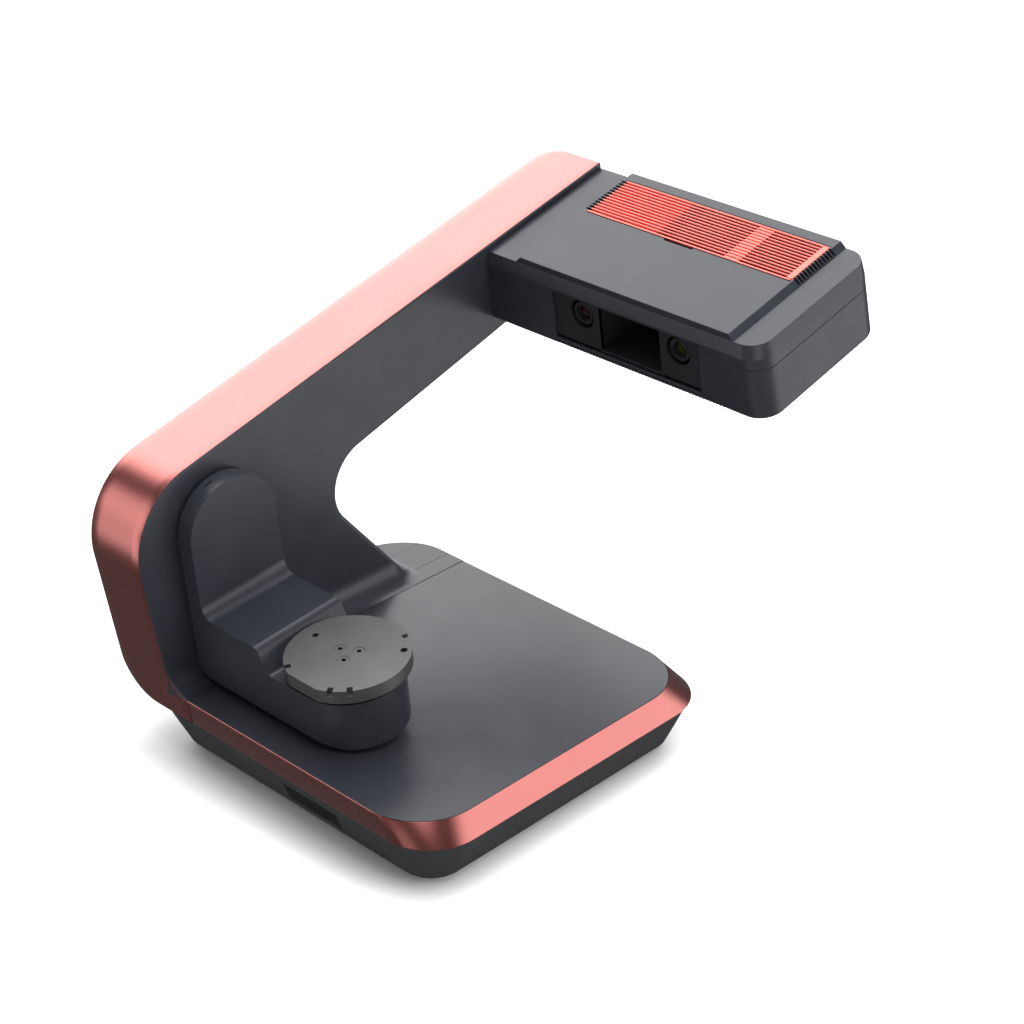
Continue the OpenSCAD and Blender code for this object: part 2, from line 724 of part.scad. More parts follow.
// The whole head, inset by d
module head_solid(d) on_top() {
    hull() {
        translate([0, 0, -panel_step - d]) linear_extrude(eps) margin_2d(d);
        translate([0, 0, wall_top]) linear_extrude(eps) shoulder_2d(d);
        translate([0, 0, -head_h + d]) linear_extrude(eps) underside_2d(d);
    }
    intersection() {
        front_extrude(0, big) polygon([[panel_x0 - panel_step + d, -panel_step - d], [panel_x0 + d, -d],
            [panel_x1 - d, -d], [panel_x1 + panel_step - d, -panel_step - d]]);
        side_extrude(0, big) polygon([[panel_front - panel_lean + d, -panel_step - d], [panel_front + d, -d],
            [arm_len - d, -d], [head_back(panel_step) - d, -panel_step - d]]);
    }
}

window_x0 = 58;
window_x1 = 181.4;
window_low = -36.1;
window_high = -1.4;

grille_x0 = panel_x0 + 3.4;
grille_x1 = grille_x0 + grille_w;
grille_y1 = arm_len - 8.6;
grille_y0 = grille_y1 - grille_d;
head_screw_at = [[16, 103], [212, 101], [210, 18], [16, 18]];
head_boss_r = 4;
module head_bosses() intersection() {
    on_head() for (p = head_screw_at) rod_z(head_boss_r, -head_h + wall + 0.2, 0, p[0], p[1]);
    head_solid(wall / 2);
}

module head_top_shell() color(dark) difference() {
    union() {
        difference() {
            head_solid(0);
            head_solid(wall);
            on_top() block(-big, big, -big, big, -big, head_seam);
        }
        head_bosses();
    }
    on_wall() block(window_x0, window_x1, -5, wall + 1.5, window_low, window_high);
    on_top() block(grille_x0, grille_x1, grille_y0, grille_y1, -wall - 1, 1);
    on_wall() block(-1, wall + 1, bracket_y0 - 1, bracket_y1 + 1, bracket_z0 - 1, bracket_z1 + 1);
    on_head() for (p = head_screw_at) rod_z(screw_r + run_gap, -head_h, -head_h + 16, p[0], p[1]);
}

module head_lower_housing() color(pan_dark) difference() {
    head_solid(0);
    head_solid(wall);
    on_top() block(-big, big, -big, big, head_seam - part_gap, big);
    on_wall() block(window_x0, window_x1, -5, wall + 1.5, window_low, window_high);
    on_head() for (p = head_screw_at) {
        rod_z(screw_r + run_gap, -head_h - 1, -head_h + wall + 1, p[0], p[1]);
        rod_z(screw_head_r + head_gap, -head_h - 1, -head_h + 1.5, p[0], p[1]);
    }
}

module head_screws() color(steel) on_head() for (p = head_screw_at) union() {
    rod_z(screw_head_r, -head_h + 0.1, -head_h + 1.5, p[0], p[1]);
    rod_z(screw_r, -head_h + 1.5, -head_h + 14, p[0], p[1]);
}

// Share of the grille's width where each field of open slots starts and ends
grille_parts = [[0.341, 0.675], [0.746, 0.972]];
module louvre_grille() color(salmon) on_top() difference() {
    block(grille_x0 + 0.15, grille_x1 - 0.15, grille_y0 + 0.15, grille_y1 - 0.15, -wall, 0);
    pitch = (grille_d - 3) / louvres;
    for (p = grille_parts, i = [0 : louvres - 1]) translate([grille_x0, grille_y0 + 2 + i * pitch, 0])
        block(p[0] * grille_w, p[1] * grille_w, 0, 0.55 * pitch, -wall - 1, 1);
}

bracket_y0 = 12;
bracket_y1 = 60;
bracket_z0 = 2.4;
bracket_z1 = 6.4;
module head_bracket() color(alloy) difference() {
    on_wall() union() {
        block(frame_x1, window_x1 + 10, bracket_y0, bracket_y1, bracket_z0, bracket_z1);
        block(frame_x1, frame_x1 + 4, bracket_y0, bracket_y1, -20, bracket_z0);
    }
    on_head() for (p = head_screw_at) rod_z(head_boss_r + part_gap, -head_h, 0, p[0], p[1]);
}

camera_x = [82.2, 82.2 + camera_gap];
camera_z = -12.2;
tunnel_x0 = camera_x[0] + 14.8;
tunnel_x1 = tunnel_x0 + tunnel_w;
face_y = 1.5;
face_t = 2.5;
face_low = -33.9;
face_high = window_high - 0.2;
tunnel_deep = 38;
tunnel_wall = 1.5;
// How far the tunnel's floor rises on its way in
tunnel_rise = 2.6;
tunnel_top = -2.7;
module optics_frame() color(black) on_wall() difference() {
    union() {
        for (x = [[window_x0 + 0.2, tunnel_x0], [tunnel_x1, window_x1 - 0.2]])
            block(x[0], x[1], face_y, face_y + face_t, face_low, face_high);
        block(window_x0 + 0.2, window_x1 - 0.2, face_y + face_t - 1, face_y + face_t, window_low + 0.2,
            face_low);
        side_extrude(tunnel_x0 - 2, tunnel_x1 + 2) polygon([[face_y, face_low - tunnel_wall],
            [tunnel_deep, face_low + tunnel_rise - tunnel_wall], [tunnel_deep, -0.6], [wall + 0.5, -0.6],
            [wall + 0.5, face_high], [face_y, face_high]]);
        for (x = [window_x0 + 2, window_x1 - 8]) block(x, x + 6, face_y + face_t, 15, -3, bracket_z0);
        block(tunnel_x0 + 10, tunnel_x1 - 10, 15, 30, -1, bracket_z0);
    }
    side_extrude(tunnel_x0, tunnel_x1) polygon([[0, face_low], [tunnel_deep - 2, face_low + tunnel_rise],
        [tunnel_deep - 2, tunnel_top], [0, tunnel_top]]);
    rod_y(9.2, tunnel_deep - 3, tunnel_deep + 1, (tunnel_x0 + tunnel_x1) / 2, camera_z - 2);
    for (x = camera_x) rod_y(camera_r, 0, face_y + face_t + 1, x, camera_z);
}

// Camera body and barrel about its axis, with the lens seat bored from the front
barrel_r = 8;
lens_r = 5.5;
module camera(x) on_wall() translate([x, 0, camera_z]) difference() {
    union() {
        rod_y(barrel_r, 3, 22);
        block(-11.5, 11.5, 22, 46, -11.5, 11.5);
        block(-6, 6, 26, 40, 11.5, bracket_z0 - camera_z);
    }
    rod_y(lens_r + 0.02, 2, 14);
}
module camera_left() color(black) camera(camera_x[0]);
module camera_right() color(black) camera(camera_x[1]);

module camera_lenses() color(black) on_wall() for (x = camera_x) translate([x, 0, camera_z]) difference() {
    rod_y(lens_r, 6, 14);
    rod_y(3.4, 5, 10);
}

module lens_glasses() color(glass) on_wall() for (x = camera_x) translate([x, 0, camera_z])
    rod_y(lens_r, 4.6, 6);

projector_y1 = 86;
heat_sink_y1 = 104;
module projector() color(black) on_wall() difference() {
    union() {
        block(tunnel_x0 + 5, tunnel_x1 - 5, tunnel_deep + 0.3, projector_y1, floor_at(projector_y1) + 1, 0.5);
        block(tunnel_x0 + 12, tunnel_x1 - 12, tunnel_deep + 4, bracket_y1, 0.5, bracket_z0);
    }
    rod_y(8.5, tunnel_deep - 1, 54, (tunnel_x0 + tunnel_x1) / 2, camera_z - 2);
}

module projector_lens() color(black) on_wall()
    translate([(tunnel_x0 + tunnel_x1) / 2, 0, camera_z - 2]) union() {
        rod_y(8.4, tunnel_deep - 8, 53);
    }

module heat_sink() color(alloy) on_wall() union() {
    low = floor_at(heat_sink_y1) + 1;
    block(tunnel_x0 + 8, tunnel_x1 - 8, projector_y1 + 0.1, projector_y1 + 3, low, -4);
    for (i = [0 : 6]) block(tunnel_x0 + 8 + i * 5, tunnel_x0 + 9.5 + i * 5, projector_y1 + 3, heat_sink_y1,
        low, -4);
}

module head_board() color(board_green) difference() {
    on_wall() union() {
        block(20, 90, 62, 96, -18, -16.4);
        block(40, 58, 70, 86, -16.4, -14);
        for (x = [24, 84], y = [64, 90]) block(x, x + 4, y, y + 4, -head_h, -18);
    }
    on_top() block(-big, big, -big, big, -big, -head_h + wall);
}

head_fan = 38;
module on_head_fan() on_top()
    translate([tunnel_x0 + tunnel_w / 2, (grille_y0 + grille_y1) / 2, -wall - 0.4 - fan_t]) children();
module head_fan_frame() color(black) on_head_fan() fan_frame(head_fan);
module head_fan_rotor() color(pan_dark) on_head_fan() fan_rotor(head_fan);

// ---- Swing arm ----
tray_z = -66;
step_z = -50;
step_x = 65;
slope_x = 9.5;
tray_end = table_x + swing_half;
sweep_gap = 1.5;
shell_out = swing_gap + upright_t;
elbow_r = 10;
knee_r = 6;

// Front view of the swing arm, inset by d, with its back side inset by b and its underside by c
module swing_profile(d = 0, b = 0, c = 0) {
    up = [0, 1];
    slope_n = [step_z - tray_z, slope_x] / norm([step_z - tray_z, slope_x]);
    slope_c = slope_n * [step_x, step_z] - d;
    knee = meet(slope_n, slope_c - knee_r, up, step_z - d - knee_r);
    elbow = [shell_out + elbow_r, step_z + elbow_r];
    polygon(concat(
        [[swing_gap + b, -swing_drop + c], [swing_gap + b, swing_half], [shell_out - d, swing_half]],
        arc(elbow, elbow_r + d, [-1, 0], [0, -1]),
        arc(knee, knee_r, up, slope_n),
        [meet(slope_n, slope_c, up, tray_z - d), [tray_end, tray_z - d], [tray_end, -swing_drop + c]]
    ));
}

// The space swept inside the fillet of the arm's foot, so that the swing arm clears it at every angle
module swing_sweep(d) {
    low = pivot_z - foot_fillet;
    rotate([0, 90, 0]) rotate_extrude($fn = fine * 2) union() {
        translate([0, foot_fillet]) square([pivot_z - sweep_gap - d, tray_end]);
        square([low, tray_end]);
        intersection() {
            translate([low, foot_fillet]) disc(foot_fillet - sweep_gap - d);
            square([big, tray_end]);
        }
    }
}

// Everything inside the swing arm's skin, inset by d
module swing_solid(d = 0, b = 0, c = 0) intersection() {
    front_extrude(-swing_half, swing_half) swing_profile(d, b, c);
    side_extrude(0, tray_end) union() {
        disc(swing_half - d);
        box_2d(-swing_half + d, swing_half - d, -swing_drop - 1, 0);
    }
    plan_extrude(-swing_drop - 1, swing_half) union() {
        box_2d(0, table_x, -swing_half + d, swing_half - d);
        translate([table_x, 0]) disc(swing_half - d);
    }
    swing_sweep(d);
}

pocket_r = plate_r + 1.5;
back_t = 2;
floor_t = 2;
inner_x = swing_gap + back_t;
module swing_shell() color(dark) on_swing() difference() {
    swing_solid();
    swing_solid(wall, -1, -2);
    block(-1, inner_x, -big, big, -big, big);
    block(-1, big, -big, big, -big, -swing_drop + floor_t);
    translate([table_x, 0, tray_z]) cylinder(h = 30, r = pocket_r, $fn = fine);
    rod_z(hub_r + 1, tray_z - wall - 1, tray_z + 1, table_x);
}

module swing_back_cover() color(pan_dark) on_swing() difference() {
    intersection() {
        swing_solid();
        block(0, inner_x - 0.1, -big, big, -swing_drop + floor_t, big);
    }
    rod_x(shaft_r + 1, 0, inner_x + 1);
}

module swing_bottom_cover() color(pan_dark) on_swing() difference() {
    intersection() {
        swing_solid();
        block(0, big, -big, big, -big, -swing_drop + floor_t - 0.1);
    }
    for (p = swing_screw_at) {
        rod_z(screw_r + run_gap, -swing_drop - 1, -swing_drop + floor_t + 1, p[0], p[1]);
        rod_z(screw_head_r + head_gap, -swing_drop - 1, -swing_drop + 1.2, p[0], p[1]);
    }
}

plate_floor = -swing_drop + floor_t + 1;
bracket_t = 3;
floor_top = plate_floor + bracket_t;
upright_x0 = swing_flange_x + shaft_flange_t;
upright_x1 = upright_x0 + 3.8;
swing_screw_at = [[30, 16], [30, -16], [126, 14], [126, -14]];
module swing_bracket() color(alloy) on_swing() difference() {
    union() {
        block(upright_x0, upright_x1, -22, 22, floor_top, 16);
        block(upright_x0, table_x + 21, -21, 21, plate_floor, floor_top);
    }
    for (p = swing_screw_at) rod_z(screw_r + run_gap, plate_floor - 1, floor_top + 1, p[0], p[1]);
}

module swing_screws() color(steel) on_swing() for (p = swing_screw_at) union() {
    rod_z(screw_head_r, -swing_drop + 0.1, -swing_drop + 1.2, p[0], p[1]);
    rod_z(screw_r, -swing_drop + 1.2, floor_top + 0.5, p[0], p[1]);
}

// ---- Turntable drive ----
table_motor_x = 42;
table_motor_size = 35;
table_motor_top = floor_top + 18;
table_belt_z0 = table_motor_top + 1.6;
table_belt_z1 = table_belt_z0 + 3.4;
table_belt_t = 1.2;
table_centres = table_x - table_motor_x;

module table_motor() color(black) on_swing() difference() {
    half = table_motor_size / 2;
    block(table_motor_x - half, table_motor_x + half, -10, 10, floor_top, table_motor_top);
    rod_z(motor_shaft_r + run_gap, floor_top + 6, table_motor_top + 1, table_motor_x);
}

// A belt pulley along Z with its flanges
module pulley_z(r) rotate([0, -90, 0]) pulley(r, table_belt_z0, table_belt_z1);

module table_motor_pulley() color(alloy) on_swing() translate([table_motor_x, 0, 0]) union() {
    pulley_z(table_small_r);
    rod_z(motor_shaft_r, floor_top + 8, table_belt_z0);
}

module table_belt() color(black) on_table() plan_extrude(table_belt_z0, table_belt_z1) mirror([1, 0])
    difference() {
        belt_2d(table_big_r + table_belt_t, table_small_r + table_belt_t, table_centres);
        belt_2d(table_big_r, table_small_r, table_centres);
    }

race_r = 11;
race_w = 6;
housing_top = table_motor_top;
module bearing_housing() color(alloy) on_table() difference() {
    union() {
        rod_z(race_r + 3, floor_top, housing_top);
        rod_z(race_r + 7, floor_top, floor_top + 2);
    }
    for (z = [floor_top, housing_top - race_w]) rod_z(race_r, z, z + race_w);
    rod_z(race_r - 2, floor_top - 1, housing_top + 1);
}

module table_bearings() color(steel) on_table() for (z = [floor_top, housing_top - race_w]) difference() {
    rod_z(race_r, z, z + race_w);
    rod_z(spindle_r + run_gap, z - 1, z + race_w + 1);
}

hub_r = 13;
plate_z1 = -52;
plate_z0 = plate_z1 - plate_t;
module table_spindle() color(steel) on_table() difference() {
    union() {
        rod_z(spindle_r, floor_top + 0.5, plate_z0);
        rod_z(hub_r, plate_z0 - 3, plate_z0);
    }
    for (a = plate_screw_a) rotate([0, 0, a])
        rod_z(screw_r + run_gap, plate_z0 - 4, plate_z0 + 1, plate_screw_at);
}

module table_pulley() color(alloy) on_table() difference() {
    pulley_z(table_big_r);
    rod_z(spindle_r, floor_top, 0);
}

plate_screw_a = [177, 57, -63];
plate_screw_at = 7;
fixture_deep = 4;
module turntable_plate() color(steel) on_table() difference() {
    intersection() {
        rod_z(plate_r, plate_z0, plate_z1);
        block(-big, big, -plate_flat, big, -big, 0);
    }
    for (a = plate_screw_a) rotate([0, 0, a]) {
        rod_z(3.4, plate_z1 - 3, plate_z1 + 1, plate_screw_at);
        rod_z(screw_r + run_gap, plate_z0 - 1, plate_z1 + 1, plate_screw_at);
    }
    // Locating holes and notches for the fixtures that go on the plate
    rotate([0, 0, 180]) rod_z(2, plate_z1 - fixture_deep, plate_z1 + 1, 29);
    rotate([0, 0, 43]) rod_z(2.2, plate_z1 - fixture_deep, plate_z1 + 1, 34);
    for (a = [66, -41, -59, -120]) rotate([0, 0, a])
        block(plate_r - 4, plate_r + 2, -1.8, 1.8, plate_z1 - fixture_deep, 0);
}

module plate_screws() color(black) on_table() for (a = plate_screw_a) rotate([0, 0, a]) difference() {
    union() {
        rod_z(3.2, plate_z1 - 3, plate_z1 - 0.3, plate_screw_at);
        rod_z(screw_r, plate_z0 - 2.5, plate_z1 - 3, plate_screw_at);
    }
    translate([plate_screw_at, 0, plate_z1 - 2]) cylinder(h = 3, r = 1.5, $fn = 6);
}

place() base_top_cover();
place() base_band();
place() base_pan();
place() base_feet();
place() base_chassis();
place() vent_panel();
place() mainboard();
place() power_inlet();
place() usb_socket();
place() button_housing();
place() power_button();
place() base_fan_frame();
place() base_fan_rotor();
place() pan_screws();
place() arm_inner_cover();
place() arm_outer_cover();
place() arm_band();
place() arm_frame();
place() arm_cover_screws();
place() tilt_motor();
place() tilt_motor_pulley();
place() tilt_belt();
place() tilt_shaft();
place() tilt_pulley();
place() tilt_bearings();
place() head_cable();
place() head_top_shell();
place() head_lower_housing();
place() louvre_grille();
place() head_bracket();
place() optics_frame();
place() camera_left();
place() camera_right();
place() camera_lenses();
place() lens_glasses();
place() projector();
place() projector_lens();
place() head_board();
place() heat_sink();
place() head_fan_frame();
place() head_fan_rotor();
place() head_screws();
place() swing_shell();
place() swing_back_cover();
place() swing_bottom_cover();
place() swing_bracket();
place() swing_screws();
place() table_motor();
place() table_motor_pulley();
place() table_belt();
place() bearing_housing();
place() table_bearings();
place() table_spindle();
place() table_pulley();
place() turntable_plate();
place() plate_screws();
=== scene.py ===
import math

import bmesh
import bpy
from mathutils import Matrix, Vector


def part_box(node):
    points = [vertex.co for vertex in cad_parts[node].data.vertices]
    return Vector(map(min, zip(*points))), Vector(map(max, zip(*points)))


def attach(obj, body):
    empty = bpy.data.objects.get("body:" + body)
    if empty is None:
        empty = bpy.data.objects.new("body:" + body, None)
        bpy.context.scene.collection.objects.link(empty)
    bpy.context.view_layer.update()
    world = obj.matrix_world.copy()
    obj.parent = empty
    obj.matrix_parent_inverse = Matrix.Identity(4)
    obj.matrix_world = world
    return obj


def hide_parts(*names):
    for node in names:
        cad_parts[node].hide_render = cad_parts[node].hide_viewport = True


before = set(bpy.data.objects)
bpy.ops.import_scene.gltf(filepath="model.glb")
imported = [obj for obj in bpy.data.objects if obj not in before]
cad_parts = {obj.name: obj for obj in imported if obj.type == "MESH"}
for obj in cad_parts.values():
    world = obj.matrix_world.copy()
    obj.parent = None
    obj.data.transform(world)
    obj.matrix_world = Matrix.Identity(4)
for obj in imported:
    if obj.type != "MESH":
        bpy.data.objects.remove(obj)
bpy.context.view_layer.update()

# ---- Camera ----
# A long portrait lens on a tall stand, in front of the scanner's right corner and well above it.
# It keeps the object's lines nearly parallel, as a catalogue picture does.
camera = bpy.data.objects.new("camera", bpy.data.cameras.new("camera"))
bpy.context.scene.collection.objects.link(camera)
camera.data.sensor_width = 36
camera.data.lens = 82.48
camera.data.clip_end = 50
camera.location = (0.9195, -0.93545, 0.8540)
camera.rotation_euler = (math.radians(90 - 28.53), 0, math.radians(43.98))
bpy.context.scene.camera = camera
bpy.context.scene.view_settings.view_transform = "Standard"


# ---- Studio floor and light ----
# A pale painted floor under a tent of soft boxes: a wide one behind on the left that the tops of the
# arm and base mirror, one behind on the right, smaller ones low and high in front, and one overhead.
def linear(code):
    """Linear colour of an sRGB hex code."""
    parts = [int(code[i:i + 2], 16) / 255 for i in (1, 3, 5)]
    return [c / 12.92 if c <= 0.04045 else ((c + 0.055) / 1.055) ** 2.4 for c in parts] + [1]


def add(tree, kind, links=(), **settings):
    """Adds a node with its settings. links gives each input its value, or the socket that feeds it."""
    made = tree.nodes.new(kind)
    for name, value in settings.items():
        setattr(made, name, value)
    for name, value in dict(links).items():
        if isinstance(value, bpy.types.NodeSocket):
            tree.links.new(value, made.inputs[name])
        else:
            made.inputs[name].default_value = value
    return made


def start(name):
    """A new material with an empty shader: its node tree and its shader node."""
    material = bpy.data.materials.new(name)
    material.use_nodes = True
    tree = material.node_tree
    tree.nodes.clear()
    shader = add(tree, "ShaderNodeBsdfPrincipled")
    add(tree, "ShaderNodeOutputMaterial", {"Surface": shader.outputs[0]})
    return material, tree, shader


# Matt floor paint, rolled on: the roller leaves a faint orange peel about 4 mm across
floor_paint, tree, shader = start("rolled_floor_paint")
spot = add(tree, "ShaderNodeTexCoord").outputs["Object"]
peel = add(tree, "ShaderNodeTexNoise", {"Vector": spot, "Scale": 250, "Detail": 2})
bump = add(tree, "ShaderNodeBump", {"Height": peel.outputs[0], "Strength": 0.1, "Distance": 0.0003})
shader.inputs["Base Color"].default_value = linear("#F4F4F4")
shader.inputs["Roughness"].default_value = 0.85
shader.inputs["Specular IOR Level"].default_value = 0.2
tree.links.new(bump.outputs[0], shader.inputs["Normal"])

bm = bmesh.new()
bmesh.ops.create_circle(bm, cap_ends=True, segments=96, radius=9)
mesh = bpy.data.meshes.new("floor")
bm.to_mesh(mesh)
bm.free()
floor = bpy.data.objects.new("floor", mesh)
bpy.context.scene.collection.objects.link(floor)
mesh.materials.append(floor_paint)
floor.visible_glossy = False

# A paper backdrop all round, far off, that only the camera sees: level views end on it
bm = bmesh.new()
bmesh.ops.create_circle(bm, segments=96, radius=8.8)
for v in bmesh.ops.extrude_edge_only(bm, edges=bm.edges[:])["geom"]:
    if isinstance(v, bmesh.types.BMVert):
        v.co.z = 7
mesh = bpy.data.meshes.new("backdrop")
bm.to_mesh(mesh)
bm.free()
backdrop = bpy.data.objects.new("backdrop", mesh)
bpy.context.scene.collection.objects.link(backdrop)
mesh.materials.append(floor_paint)
backdrop.visible_glossy = backdrop.visible_diffuse = backdrop.visible_shadow = False

world = bpy.data.worlds.new("studio")
bpy.context.scene.world = world
world.use_nodes = True
tree = world.node_tree
tree.nodes.clear()
way = add(tree, "ShaderNodeTexCoord").outputs["Generated"]
# Each soft box: the way to it, the half angles of its bright middle and of its edge, and its strength
level, fill = None, 0.10
for aim, middle, edge, strength in (
    ((-0.61, 0.45, 0.65), 24, 44, 2.6),
    ((-0.62, -0.72, 0.30), 8, 24, 1.3),
    ((0.78, 0.62, -0.02), 14, 42, 1.5),
    ((0.10, -0.86, -0.47), 5, 20, 0.4),
    ((-0.60, -0.78, -0.20), 4, 18, 1.3),
    ((0.66, -0.66, 0.30), 10, 26, 1.5),
    ((0.15, -0.10, 0.98), 10, 40, 0.9),
):
    near = add(tree, "ShaderNodeVectorMath", {0: way, 1: Vector(aim).normalized()}, operation="DOT_PRODUCT")
    glow = add(tree, "ShaderNodeMapRange", {
        "Value": near.outputs["Value"], "From Min": math.cos(math.radians(edge)),
        "From Max": math.cos(math.radians(middle)), "To Min": 0.0, "To Max": strength,
    }, interpolation_type="SMOOTHSTEP").outputs[0]
    level = glow if level is None else add(tree, "ShaderNodeMath", {0: level, 1: glow}).outputs[0]
level = add(tree, "ShaderNodeMath", {0: level, 1: fill}).outputs[0]
sky = add(tree, "ShaderNodeBackground", {"Color": (1.0, 1.0, 1.0, 1.0), "Strength": level})
add(tree, "ShaderNodeOutputWorld", {"Surface": sky.outputs[0]})

# A silk overhead that lights the floor and the tops evenly and shows in no reflection
for name, place, size, watts in (
    ("overhead_silk", (0.3, 0.3, 2.6), 2.4, 95),
    ("side_silk", (2.4, 0.6, 1.2), 1.6, 30),
):
    lamp = bpy.data.objects.new(name, bpy.data.lights.new(name, "AREA"))
    bpy.context.scene.collection.objects.link(lamp)
    lamp.data.size = size
    lamp.data.energy = watts
    lamp.location = place
    lamp.rotation_euler = (Vector((0, 0, 0.1)) - Vector(place)).to_track_quat("-Z", "Y").to_euler()
    lamp.visible_glossy = False
    lamp.visible_camera = False


# ---- Base: chassis, boards and fans ----
# A folded steel tray carries the control board, the power parts and a small fan behind the front vent.
# Only the sockets, the button and the feet show outside; the rest is inside the pan.
def sheet_metal(name, colour, spangle, roughness, low):
    """Bare metal: colour of the metal, size in mm of its crystals or blast marks, and how they glint."""
    material, tree, shader = start(name)
    spot = add(tree, "ShaderNodeTexCoord").outputs["Object"]
    crystal = add(tree, "ShaderNodeTexVoronoi", {"Vector": spot, "Scale": 1000 / spangle}, feature="F1")
    smear = add(tree, "ShaderNodeTexNoise", {"Vector": spot, "Scale": 60, "Detail": 4})
    shade = add(tree, "ShaderNodeMix", {
        0: smear.outputs[0], 6: linear(low), 7: linear(colour)}, data_type="RGBA")
    rough = add(tree, "ShaderNodeMapRange", {
        "Value": crystal.outputs["Distance"], "To Min": roughness - 0.08, "To Max": roughness + 0.1})
    bump = add(tree, "ShaderNodeBump", {
        "Height": crystal.outputs["Distance"], "Strength": 0.15, "Distance": 0.0001})
    shader.inputs["Metallic"].default_value = 1.0
    tree.links.new(shade.outputs[2], shader.inputs["Base Color"])
    tree.links.new(rough.outputs[0], shader.inputs["Roughness"])
    tree.links.new(bump.outputs[0], shader.inputs["Normal"])
    return material


def moulded(name, colour, cloudy, rubbed, roughness, grain=0.8, depth=0.03, gloss=0.5):
    """Moulded plastic: its colour, the tone it clouds to, the tone that hands rub it to, and the size and
    depth in mm of the spark-eroded grain that the mould leaves on it."""
    material, tree, shader = start(name)
    spot = add(tree, "ShaderNodeTexCoord").outputs["Object"]
    cloud = add(tree, "ShaderNodeTexNoise", {"Vector": spot, "Scale": 22, "Detail": 5, "Roughness": 0.6})
    cloud_part = add(tree, "ShaderNodeMapRange", {
        "Value": cloud.outputs[0], "From Min": 0.35, "From Max": 0.7})
    body = add(tree, "ShaderNodeMix", {
        0: cloud_part.outputs[0], 6: linear(colour), 7: linear(cloudy)}, data_type="RGBA")
    grit = add(tree, "ShaderNodeTexNoise", {
        "Vector": spot, "Scale": 1000 / grain, "Detail": 2, "Roughness": 0.7})
    smudge = add(tree, "ShaderNodeTexNoise", {"Vector": spot, "Scale": 35, "Detail": 6, "Roughness": 0.55})
    # Handling greys it a little in patches
    worn = add(tree, "ShaderNodeMapRange", {
        "Value": smudge.outputs[0], "From Min": 0.55, "From Max": 0.8, "To Max": 0.012})
    coat = add(tree, "ShaderNodeMix", {
        0: worn.outputs[0], 6: body.outputs[2], 7: linear(rubbed)}, data_type="RGBA")
    sheen = add(tree, "ShaderNodeMapRange", {
        "Value": smudge.outputs[0], "From Min": 0.3, "From Max": 0.7,
        "To Min": roughness - 0.03, "To Max": roughness + 0.04})
    bump = add(tree, "ShaderNodeBump", {"Height": grit.outputs[0], "Strength": 0.35, "Distance": depth / 1000})
    shader.inputs["Specular IOR Level"].default_value = gloss
    tree.links.new(coat.outputs[2], shader.inputs["Base Color"])
    tree.links.new(sheen.outputs[0], shader.inputs["Roughness"])
    tree.links.new(bump.outputs[0], shader.inputs["Normal"])
    return material


def give(material, *nodes):
    """Finishes the CAD nodes with a material."""
    for name in nodes:
        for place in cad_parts[name].material_slots:
            place.material = material


zinc_steel = sheet_metal("zinc_plated_steel", "#A9ACAF", 2.5, 0.38, "#8C8F93")
cast_alloy = sheet_metal("bead_blasted_cast_aluminium", "#B4B6B8", 0.9, 0.5, "#9C9EA1")
bearing_steel = sheet_metal("ground_bearing_steel", "#C4C6C9", 0.5, 0.22, "#AEB0B3")
black_nylon = moulded("black_glass_filled_nylon", "#17181A", "#1E1F22", "#3A3C40", 0.5, grain=1.2, depth=0.05)
rubber = moulded("pressed_black_rubber", "#141415", "#1B1B1D", "#2A2A2C", 0.8, grain=1.0, depth=0.05, gloss=0.25)
belt_rubber = moulded("cast_polyurethane_belt", "#101011", "#161618", "#232326", 0.6, grain=0.6, gloss=0.35)
fan_plastic = moulded("glossy_black_pbt_fan", "#101114", "#17191D", "#2F3238", 0.3, grain=0.7, depth=0.015)

# Fibreglass board under green solder mask: copper tracks lift the mask in lanes about 1.3 mm apart
board_mask, tree, shader = start("solder_masked_fibreglass")
spot = add(tree, "ShaderNodeTexCoord").outputs["Object"]
weave = add(tree, "ShaderNodeTexBrick", {
    "Vector": spot, "Color1": linear("#1E5A38"), "Color2": linear("#27683F"), "Mortar": linear("#123D26"),
    "Scale": 260.0, "Mortar Size": 0.03, "Brick Width": 1.4, "Row Height": 0.34})
track = add(tree, "ShaderNodeBump", {"Height": weave.outputs["Fac"], "Strength": 0.3, "Distance": 0.0001})
shader.inputs["Roughness"].default_value = 0.35
tree.links.new(weave.outputs[0], shader.inputs["Base Color"])
tree.links.new(track.outputs[0], shader.inputs["Normal"])

give(zinc_steel, "base_chassis", "usb_socket", "pan_screws")
give(board_mask, "mainboard", "head_board")
give(rubber, "base_feet")
give(black_nylon, "power_inlet", "button_housing")
give(fan_plastic, "base_fan_frame", "base_fan_rotor", "head_fan_frame", "head_fan_rotor")
give(cast_alloy, "power_button")

# ---- Base: pan ----
# The dark pan under the base, moulded in textured ABS, tapers in towards the floor so that it hides in
# shadow. It has the sockets in a recess at the back and a slotted vent in the leaning front wall.
half_arm, base_reach = 0.024, 0.255
origin = Vector((
    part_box("arm_outer_cover")[1].x + half_arm,
    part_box("base_band")[1].y - base_reach,
    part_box("base_top_cover")[1].z,
))
# The stand's own measure: millimetres from the arm's side, the front of the base and the top of the plate
stand = Matrix.Translation(origin) @ Matrix.Scale(0.001, 4)


def slab(x0, x1, y0, y1, r, left_r=0.3, steps=16):
    """Outline of a rectangle with round corners, r at high X and left_r at low X."""
    points = []
    for cx, cy, q, turn in (
        (x1 - r, y0 + r, r, -90), (x1 - r, y1 - r, r, 0),
        (x0 + left_r, y1 - left_r, left_r, 90), (x0 + left_r, y0 + left_r, left_r, 180),
    ):
        for i in range(steps + 1):
            a = math.radians(turn + 90 * i / steps)
            points.append((cx + q * math.cos(a), cy + q * math.sin(a)))
    return points


